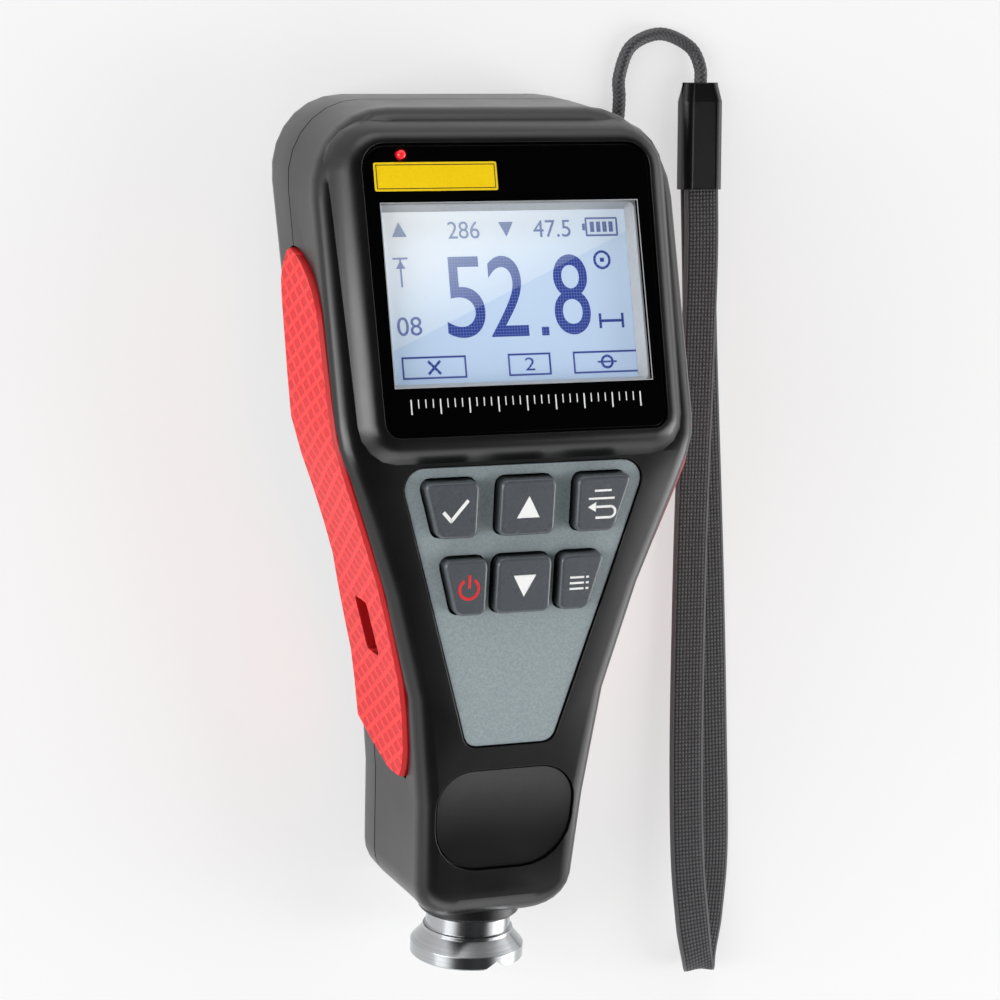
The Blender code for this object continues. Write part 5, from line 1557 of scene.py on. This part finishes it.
@dataclass
class Lanyard:
    """Wrist lanyard: braided cord through the eyelet, clasp, and a woven strap."""

    ground: float = 0.011944
    cord_radius: float = 1.15
    cord_sides: int = 50
    strands: int = 16
    strand_length: float = 0.85
    strand_relief: float = 0.14
    clasp_place: tuple[float, float, float] = (48.9, 74.244, 2.1)
    clasp_size: tuple[float, float, float] = (7.7, 18.4, 4.0)
    clasp_taper: float = 3.2
    clasp_top_scale: float = 0.86
    clasp_top_height: float = 0.62
    clasp_crease: float = math.radians(12.5)
    clasp_side: float = 1.5
    clasp_end: float = 0.35
    clasp_inset: float = 0.3
    clasp_recess: float = 0.06
    fold_start: float = 9.0
    fold_width: float = 0.72
    strap_width: float = 6.4
    strap_thickness: float = 0.9
    strap_columns: int = 12
    strap_thinning: float = 0.45
    cord_points: tuple = (
        (0.02861, 0.04958, 0.00417),
        (0.03073, 0.05015, 0.00423),
        (0.0322, 0.0528, 0.0024),
        (0.0334, 0.0561, 0.0016),
        (0.0338, 0.0597, 0.00127),
        (0.0338, 0.0635, 0.00125),
        (0.0360, 0.0685, 0.00125),
        (0.0415, 0.0706, 0.00125),
        (0.0470, 0.0685, 0.0014),
        (0.0489, 0.0650, 0.0019),
        (0.0489, 0.0614, 0.0021),
    )
    strap_points: tuple = (
        (0.0489, 0.0449, 0.0029),
        (0.0491, 0.0333, 0.0029),
        (0.0489, 0.0159, 0.0026),
        (0.0482, -0.0105, 0.0024),
        (0.0478, -0.0281, 0.0026),
        (0.0473, -0.0531, 0.0033),
        (0.0472, -0.0728, 0.0044),
        (0.0477, -0.0845, 0.0056),
        (0.0489, -0.0918, 0.0054),
        (0.0504, -0.0941, 0.0034),
        (0.0518, -0.0918, 0.0012),
        (0.0531, -0.0845, 0.0006),
        (0.0539, -0.0728, 0.0006),
        (0.0533, -0.0503, 0.0006),
        (0.0525, -0.0282, 0.0006),
        (0.0517, -0.0105, 0.0006),
        (0.0504, 0.0159, 0.0006),
        (0.0497, 0.0333, 0.0008),
        (0.0489, 0.0449, 0.0016),
    )

    def route(self, points: tuple, per_span: int) -> list[Vector]:
        """A smooth route through points, moved to its place beside the gauge."""
        shift = Vector((0.0, self.ground, 0.0))
        return [place + shift for place in smooth_route(points, per_span)]

    def strand_height(self, around: float, along: float) -> float:
        """Height of the braid at a place on the cord, from 0 to 1.

        Args:
            around: share of a turn round the cord.
            along: distance along the cord in millimetres.

        Returns:
            1 on the crest of a strand, 0 in the gaps.
        """
        first = around * self.strands / 2 + along / self.strand_length
        second = around * self.strands / 2 - along / self.strand_length
        over = (math.floor(first) + math.floor(second)) % 2 == 0
        upper, lower = (first, second) if over else (second, first)
        crest = math.sin(math.pi * (upper % 1.0))
        return crest * (0.55 + 0.45 * math.sin(math.pi * (lower % 1.0)))

    def cord(self, clasp: bpy.types.Object) -> None:
        """Args:
            clasp: the clasp that the cord ends in; not used.
        """
        route = self.route(self.cord_points, 26)
        along = run_lengths(route)
        count = self.cord_sides
        section = []
        for step in range(count):
            angle = 2 * math.pi * step / count
            section.append(Vector((math.cos(angle), math.sin(angle))) * self.cord_radius * MM)
        mesh = bmesh.new()
        sides = self.level_sides(route)
        rings = sweep_section(mesh, section, route, sides)
        heights = {}
        for ring, centre, distance in zip(rings, route, along):
            for step, vert in enumerate(ring):
                share = self.strand_height(step / count, distance / MM)
                reach = self.cord_radius - self.strand_relief * (1 - share)
                vert.co = centre + (vert.co - centre).normalized() * reach * MM
                heights[vert] = share
        mesh.verts.index_update()
        ordered = [heights[vert] for vert in mesh.verts]
        finished(mesh, math.radians(80))
        made = add_piece(
            "cord", mesh, Finishes.cord, "housing", ("lanyard_cord",), False
        )
        layer = made.data.attributes.new("strand", "FLOAT", "POINT")
        layer.data.foreach_set("value", ordered)

    def level_sides(self, route: list[Vector]) -> list[Vector]:
        """A level direction across the route at each of its points.

        Args:
            route: the route's points.

        Returns:
            One direction for each point.
        """
        sides = []
        for index in range(len(route)):
            before = route[max(index - 1, 0)]
            after = route[min(index + 1, len(route) - 1)]
            sides.append((after - before).cross(Vector((0.0, 0.0, 1.0))).normalized())
        return sides

    def clasp(self) -> bpy.types.Object:
        """Model the moulded clasp that joins cord and strap.

        Returns:
            The clasp.
        """
        width, length, height = self.clasp_size
        mesh = bmesh.new()
        bmesh.ops.create_cube(mesh, size=1.0, matrix=Matrix.Diagonal((width, length, height, 1.0)))
        everything = list(mesh.verts) + list(mesh.edges) + list(mesh.faces)
        bmesh.ops.bisect_plane(
            mesh,
            geom=everything,
            plane_co=(0.0, length / 2 - self.clasp_taper, 0.0),
            plane_no=(0.0, 1.0, 0.0),
        )
        top = [v for v in mesh.verts if v.co.y > length / 2 - 0.01]
        scale = self.clasp_top_scale
        bmesh.ops.scale(mesh, verts=top, vec=(scale, 1.0, self.clasp_top_height))
        long_edges = []
        for edge in mesh.edges:
            run = (edge.verts[0].co - edge.verts[1].co).normalized()
            if abs(run.y) > 0.7:
                long_edges.append(edge)
        bmesh.ops.bevel(
            mesh,
            geom=long_edges,
            offset=self.clasp_side,
            offset_type="OFFSET",
            segments=9,
            profile=0.5,
            affect="EDGES",
            material=-1,
        )
        ends = [e for e in mesh.edges if all(abs(abs(v.co.y) - length / 2) < 0.01 for v in e.verts)]
        bmesh.ops.bevel(
            mesh,
            geom=ends,
            offset=self.clasp_end,
            offset_type="OFFSET",
            segments=3,
            profile=0.5,
            affect="EDGES",
            clamp_overlap=True,
            material=-1,
        )
        upper = [f for f in mesh.faces if f.normal.z > 0.95 and f.calc_area() > 8.0]
        bmesh.ops.inset_region(
            mesh, faces=upper, thickness=self.clasp_inset, depth=-self.clasp_recess
        )
        x, y, z = self.clasp_place
        place = Matrix.Translation((x, y - length / 2, z))
        bmesh.ops.transform(mesh, matrix=Matrix.Scale(MM, 4) @ place, verts=mesh.verts)
        finished(mesh, self.clasp_crease)
        return add_piece(
            "clasp",
            mesh,
            Finishes.clasp,
            "housing",
            ("lanyard_connector",),
        )

    def strap(self, clasp: bpy.types.Object) -> None:
        """Args:
            clasp: the clasp that holds both ends of the strap; not used.
        """
        route = self.route(self.strap_points, 14)
        along = run_lengths(route)
        half = self.strap_width / 2 * MM
        thick = self.strap_thickness / 2 * MM
        section = []
        columns = self.strap_columns
        for steps, side in ((range(columns + 1), 1), (range(columns, -1, -1), -1)):
            for step in steps:
                x = -half + 2 * half * step / columns
                edge = self.strap_thinning * abs(x / half) ** 6
                section.append(Vector((x, side * thick * (1 - edge))))
        mesh = bmesh.new()
        sides = [Vector((1.0, 0.0, 0.0))] * len(route)
        rings = sweep_section(mesh, section, route, sides)
        layer = mesh.loops.layers.uv.new("strap")
        places = {}
        lowest = min(range(len(route)), key=lambda index: route[index].y)
        for ring, distance, centre in zip(rings, along, route):
            away = abs(distance - along[lowest]) / MM / self.fold_start
            share = self.fold_width + (1 - self.fold_width) * min(away, 1.0) ** 0.5
            for vert, point in zip(ring, section):
                vert.co.x = centre.x + (vert.co.x - centre.x) * share
                places[vert] = (point.x / MM, distance / MM)
        for face in mesh.faces:
            for loop in face.loops:
                loop[layer].uv = places[loop.vert]
        finished(mesh, math.radians(60))
        made = add_piece(
            "strap", mesh, Finishes.strap, "housing", ("lanyard_strap",), False
        )

    def build(self) -> None:
        """Build clasp, cord and strap."""
        clasp = self.clasp()
        self.cord(clasp)
        self.strap(clasp)
        smooth_copy("eyelet_pin", "lanyard_bar", Finishes.fastener)


@dataclass
class Housing:
    """Both shells, the rubber grips, the battery door and the screws."""

    screws: tuple[str, ...] = ("case_screw_a", "case_screw_b", "case_screw_c", "case_screw_d")

    def build(self) -> None:
        """Dress the housing from merged copies of its CAD pieces."""
        smooth_copy("front_cover", "front_shell", Finishes.shell, False)
        smooth_copy("rear_cover", "rear_shell", Finishes.shell, False)
        smooth_copy("grip_left", "left_grip", Finishes.grip)
        smooth_copy("grip_right", "right_grip", Finishes.grip)
        smooth_copy("battery_cover", "battery_door", Finishes.shell)
        smooth_copy("cover_screw", "door_screw", Finishes.fastener)
        for node in self.screws:
            smooth_copy(node.replace("case", "shell"), node, Finishes.fastener)


@dataclass
class Display:
    """Gloss window, bezel, liquid-crystal film with its reading, lamp and label."""

    shift: tuple[float, float] = (1.56, 0.32)
    film_height: float = -3.6
    label: tuple[float, float, float, float] = (-23.2, -2.0, 15.8, 20.45)
    reading: str = "52.8"

    def reading_mark(self) -> Mark:
        """Draw the reading, the small numbers and the symbols of the display.

        Returns:
            The display's mark.
        """
        mark = Mark()
        x, y = self.shift
        mark.number("5", -12.7 + x, -7.7 + y, 6.7, 13.1)
        mark.number("2", -5.2 + x, -7.7 + y, 6.6, 13.1)
        mark.bar(4.3 + x, -7.0 + y, 1.3, 1.4)
        mark.number("8", 6.2 + x, -7.7 + y, 6.4, 13.1)
        mark.polygon(-19.8 + x, 9.55 + y, 3, 1.5, 1.6, 90)
        mark.number("286", -11.4 + x, 8.3 + y, 5.5, 2.8)
        mark.polygon(-1.2 + x, 10.1 + y, 3, 1.5, 1.6, -90)
        mark.number("47.5", 3.6 + x, 8.3 + y, 6.6, 2.8)
        mark.stroke((-20.0 + x, 0.7 + y), (-20.0 + x, 5.2 + y), 0.32)
        mark.bar(-20.0 + x, 5.3 + y, 2.6, 0.32)
        mark.polygon(-20.0 + x, 4.1 + y, 3, 0.95, 0.9, 90)
        mark.number("08", -21.4 + x, -7.1 + y, 4.2, 3.0)
        self.battery(mark, 15.8 + x, 9.85 + y)
        self.targets(mark, x, y)
        return mark

    def battery(self, mark: Mark, x: float, y: float) -> None:
        """Draw the battery symbol about its centre.

        Args:
            mark: the mark to draw on.
            x: its centre across.
            y: its centre along.
        """
        for side in (-1, 1):
            mark.bar(x, y + side * 1.4, 5.6, 0.3)
            mark.bar(x + side * 2.75, y, 0.3, 2.8)
        mark.bar(x - 3.2, y, 0.5, 1.1)
        for step in range(4):
            mark.bar(x - 1.68 + 1.12 * step, y, 0.72, 1.7)

    def targets(self, mark: Mark, x: float, y: float) -> None:
        """Draw the symbols over the keys and the units' places.

        Args:
            mark: the mark to draw on.
            x: shift across.
            y: shift along.
        """
        mark.arc(15.4 + x, 4.4 + y, 1.35, 0.42, 0, 360)
        mark.bar(15.4 + x, 4.4 + y, 0.7, 0.7)
        mark.bar(16.2 + x, -5.6 + y, 4.4, 0.45)
        mark.stroke((14.2 + x, -4.4 + y), (14.2 + x, -6.8 + y), 0.45)
        mark.stroke((18.2 + x, -4.4 + y), (18.2 + x, -6.8 + y), 0.45)
        for centre, half in ((-15.6, 5.4), (1.0, 3.6), (14.8, 5.9)):
            for side in (-1, 1):
                mark.bar(centre + x, -12.3 + side * 1.65 + y, 2 * half, 0.3)
                mark.bar(centre + side * half + x, -12.3 + y, 0.3, 3.6)
        mark.bar(-15.6 + x, -12.3 + y, 3.0, 0.42, 45)
        mark.bar(-15.6 + x, -12.3 + y, 3.0, 0.42, -45)
        mark.number("2", 0.2 + x, -13.3 + y, 1.7, 2.1)
        mark.arc(14.8 + x, -12.3 + y, 0.95, 0.4, 0, 360)
        mark.bar(14.8 + x, -12.3 + y, 3.4, 0.3)

    def scale_mark(self) -> Mark:
        """Draw a plain scale of fine lines under the aperture.

        Returns:
            The scale's mark.
        """
        mark = Mark()
        for step in range(-16, 17):
            long = step % 4 == 0
            height = 2.4 if long else 1.4
            mark.bar(step * 1.25, -17.4 - height / 2, 0.22 if long else 0.16, height)
        return mark

    def label_line(self) -> Mark:
        """Draw a thin line inside the label's edge.

        Returns:
            The line's mark.
        """
        mark = Mark()
        left, right, low, high = self.label
        x = (left + right) / 2
        y = (low + high) / 2
        for side in (-1, 1):
            mark.bar(x, y + side * ((high - low) / 2 - 0.42), right - left - 0.72, 0.12)
            mark.bar(x + side * ((right - left) / 2 - 0.42), y, 0.12, high - low - 0.96)
        return mark

    def build(self) -> None:
        """Dress the window and draw what shows through it."""
        plane = Plane.DISPLAY.drawing
        smooth_copy("window", "display_window", Finishes.window)
        smooth_copy("bezel", "display_frame", Finishes.bezel)
        smooth_copy("film", "lcd_panel", Finishes.film)
        smooth_copy("lamp", "status_led", Finishes.lamp)
        reading = self.reading_mark().placed(plane, self.film_height)
        add_piece("reading", reading, Finishes.ink, "housing")
        left, right, low, high = self.label
        corners = ((left, low), (right, low), (right, high), (left, high))
        plate = rounded_plate(corners, 0.35, 0.0, 0.06)
        bmesh.ops.transform(plate, matrix=plane, verts=plate.verts)
        finished(plate)
        add_piece("label", plate, Finishes.yellow_print, "housing")
        frame_line = self.label_line().placed(plane, 0.06)
        add_piece("label_line", frame_line, Finishes.black_print, "housing")
        scale = self.scale_mark().placed(plane, 0.0)
        add_piece("scale", scale, Finishes.white_print, "housing")


@dataclass
class Key:
    """One key: its outline on the keypad's plane, and the body that it rides on."""

    name: str
    corners: tuple[tuple[float, float], ...]
    low: float = -1.6
    high: float = 1.85
    corner: float = 1.3
    rounding: float = 0.62

    def build(self, mark: Mark, finish: Finish) -> None:
        """Model the key and print its symbol.

        Args:
            mark: the symbol, drawn about the key's own centre.
            finish: the symbol's finish.
        """
        plane = Plane.KEYPAD.drawing
        mesh = rounded_plate(self.corners, self.corner, self.low, self.high, self.rounding)
        bmesh.ops.transform(mesh, matrix=plane, verts=mesh.verts)
        finished(mesh)
        node = "key_" + self.name
        body = self.name + "_key"
        add_piece("cap_" + self.name, mesh, Finishes.key, body, (node,))
        x = sum(corner[0] for corner in self.corners) / 4
        y = sum(corner[1] for corner in self.corners) / 4
        place = plane @ Matrix.Translation((x, y, 0.0))
        add_piece("symbol_" + self.name, mark.placed(place, self.high), finish, body)


@dataclass
class Keypad:
    """Painted panel, six keys with their symbols, and the thumb pad."""

    half_length: float = 4.65
    rows: tuple[float, float] = (2.1, -10.8)
    middle: float = 4.85
    upper_side: tuple[float, float, float] = (8.6, 18.2, 15.4)
    lower_side: tuple[float, float, float] = (6.4, 14.2, 11.6)

    def corners(self, row: float, x_values: tuple[float, ...]) -> tuple[tuple[float, float], ...]:
        """Corners of a key, counter-clockwise from its lower left one.

        Args:
            row: place of the row's middle along the panel.
            x_values: the corners' places across: lower two, then upper two from the right.

        Returns:
            The four corners.
        """
        low_left, low_right, high_right, high_left = x_values
        low = row - self.half_length
        high = row + self.half_length
        return ((low_left, low), (low_right, low), (high_right, high), (high_left, high))

    def check_mark(self) -> Mark:
        """Tick on the confirming key.

        Returns:
            The symbol.
        """
        mark = Mark()
        mark.stroke((-2.1, -0.1), (-0.55, -1.75), 0.6)
        mark.stroke((-0.75, -1.7), (2.1, 1.7), 0.6)
        return mark

    def triangle(self, turn: float) -> Mark:
        """Triangle that points up or down.

        Args:
            turn: 90 to point up, or -90 to point down.

        Returns:
            The symbol.
        """
        mark = Mark()
        mark.polygon(0.0, -0.5 if turn > 0 else 0.5, 3, 2.3, 2.4, turn)
        return mark

    def return_arrow(self) -> Mark:
        """Arrow that turns back, under a line.

        Returns:
            The symbol.
        """
        mark = Mark()
        mark.bar(0.1, 0.9, 4.6, 0.36)
        mark.bar(0.3, 2.2, 3.0, 0.36)
        mark.bar(0.55, -0.5, 2.6, 0.42)
        mark.arc(1.75, -1.4, 0.9, 0.42, -90, 180)
        mark.bar(0.5, -2.3, 2.6, 0.42)
        mark.polygon(-1.3, -0.5, 3, 0.95, 0.95, 180)
        return mark

    def power_symbol(self) -> Mark:
        """Broken ring with a bar.

        Returns:
            The symbol.
        """
        mark = Mark()
        mark.arc(0.0, -0.1, 1.65, 0.52, 122, 296)
        mark.bar(0.0, 1.1, 0.5, 2.2)
        return mark

    def list_symbol(self) -> Mark:
        """Three lines with dots beside them.

        Returns:
            The symbol.
        """
        mark = Mark()
        for step in range(3):
            mark.bar(-0.35, -1.1 + 0.95 * step, 2.5, 0.36)
            mark.bar(1.5, -1.1 + 0.95 * step, 0.5, 0.36)
        return mark

    def build(self) -> None:
        """Build the panel, the keys and the pad."""
        smooth_copy("panel", "keypad_panel", Finishes.panel)
        smooth_copy("pad", "thumb_pad", Finishes.pad)
        upper, lower = self.rows
        middle = (-self.middle, self.middle, self.middle, -self.middle)
        for row, side, names, marks in (
            (
                upper,
                self.upper_side,
                ("ok", "up", "back"),
                (self.check_mark(), self.triangle(90), self.return_arrow()),
            ),
            (
                lower,
                self.lower_side,
                ("power", "down", "menu"),
                (self.power_symbol(), self.triangle(-90), self.list_symbol()),
            ),
        ):
            inner, top, bottom = side
            shapes = ((-bottom, -inner, -inner, -top), middle, (inner, bottom, top, inner))
            for name, shape, mark in zip(names, shapes, marks):
                ink = Finishes.red_print if name == "power" else Finishes.white_print
                Key(name, self.corners(row, shape)).build(mark, ink)


@dataclass
class Probe:
    """Neck ring and the polished steel collar with its notches."""

    bore: float = 3.5
    flange: tuple[float, float, float] = (8.2, -66.8, -68.3)
    sleeve: float = 7.1
    ledge: tuple[float, float, float] = (7.6, -78.8, 0.6)
    rim: tuple[float, float, float] = (9.5, -81.6, -83.8)
    rim_edge: float = 0.2
    travel: float = 2.2
    notch_half: float = 2.2
    notch_depth: float = 1.4
    notch_angle: float = math.radians(81)
    steps: int = 160

    def profile(self) -> tuple[tuple[float, float], ...]:
        """Closed profile of the collar, radius and place along the probe's axis.

        Returns:
            The profile's points.
        """
        flange_radius, flange_top, flange_low = self.flange
        ledge_radius, ledge_y, ledge_height = self.ledge
        rim_radius, rim_y, bottom = self.rim
        edge = self.rim_edge
        return (
            (self.bore, flange_top),
            (flange_radius, flange_top),
            (flange_radius, flange_low),
            (self.sleeve, flange_low),
            (self.sleeve, ledge_y + 0.1),
            (self.sleeve + 0.1, ledge_y),
            (ledge_radius - 0.1, ledge_y),
            (ledge_radius, ledge_y - 0.1),
            (ledge_radius, ledge_y - ledge_height),
            (rim_radius - 0.12, rim_y + 0.16),
            (rim_radius, rim_y),
            (rim_radius, bottom + edge + 0.9),
            (rim_radius, bottom + edge),
            (rim_radius - edge, bottom),
            (self.bore + 1.6, bottom),
            (self.bore, bottom),
        )

    def collar(self) -> None:
        """Turn the collar and press a pair of opposite notches into the rim."""
        mesh = bmesh.new()
        points = [mesh.verts.new((radius, y, 0.0)) for radius, y in self.profile()]
        edges = [mesh.edges.new((a, b)) for a, b in zip(points, points[1:] + points[:1])]
        bmesh.ops.spin(
            mesh,
            geom=points + edges,
            cent=(0.0, 0.0, 0.0),
            axis=(0.0, 1.0, 0.0),
            angle=2 * math.pi,
            steps=self.steps,
            use_merge=True,
        )
        bmesh.ops.remove_doubles(mesh, verts=mesh.verts, dist=0.0005)
        bottom = self.rim[2]
        across = Vector((-math.sin(self.notch_angle), 0.0, math.cos(self.notch_angle)))
        for vert in mesh.verts:
            offset = abs(Vector((vert.co.x, 0.0, vert.co.z)).dot(across))
            raised = self.notch_depth * (1 - offset / self.notch_half)
            if raised > 0 and vert.co.y < bottom + 1.2:
                vert.co.y = max(vert.co.y, bottom + raised)
        bmesh.ops.recalc_face_normals(mesh, faces=mesh.faces)
        bmesh.ops.transform(mesh, matrix=Plane.GAUGE.drawing, verts=mesh.verts)
        finished(mesh, math.radians(24))
        add_piece("steel_collar", mesh, Finishes.steel, "collar", ("probe_collar",))

    def spring(self) -> None:
        """Dress the spring, the part that shortens as the collar presses in, as a copy with a mesh
        of its own.
        """
        piece = smooth_copy("return_spring", "probe_spring", Finishes.fastener)
        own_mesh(piece)

    def build(self) -> None:
        """Build the collar and dress the neck, the core and the spring."""
        self.collar()
        self.spring()
        smooth_copy("neck", "probe_neck", Finishes.neck)
        smooth_copy("core", "probe_core", Finishes.brass)


@dataclass
class Inside:
    """Pieces inside the housing, which keep their CAD shapes."""

    finishes: dict[str, Finish] = field(
        default_factory=lambda: {
            "display_board": Finishes.board,
            "main_board": Finishes.board,
            "buzzer": Finishes.inner,
            "key_mat": Finishes.mat,
            "usb_socket": Finishes.fastener,
            "ribbon_cable": Finishes.mat,
            "battery_cell_a": Finishes.cell,
            "battery_cell_b": Finishes.cell,
            "contact_bridge": Finishes.brass,
            "contact_plus": Finishes.brass,
            "contact_minus": Finishes.brass,
            "battery_tray": Finishes.inner,
            "probe_guide": Finishes.inner,
        }
    )

    def build(self) -> None:
        """Give each inner node its finish."""
        for node, finish in self.finishes.items():
            dress(node, finish)


def main() -> None:
    """Build the scene in order: camera and cords first."""
    logging.basicConfig(level=logging.INFO, format="%(name)s: %(message)s")
    for part in (Studio(), Lanyard(), Housing(), Display(), Keypad(), Probe(), Inside()):
        LOG.info("building %s", type(part).__name__)
        part.build()


if __name__ == "__main__":
    main()
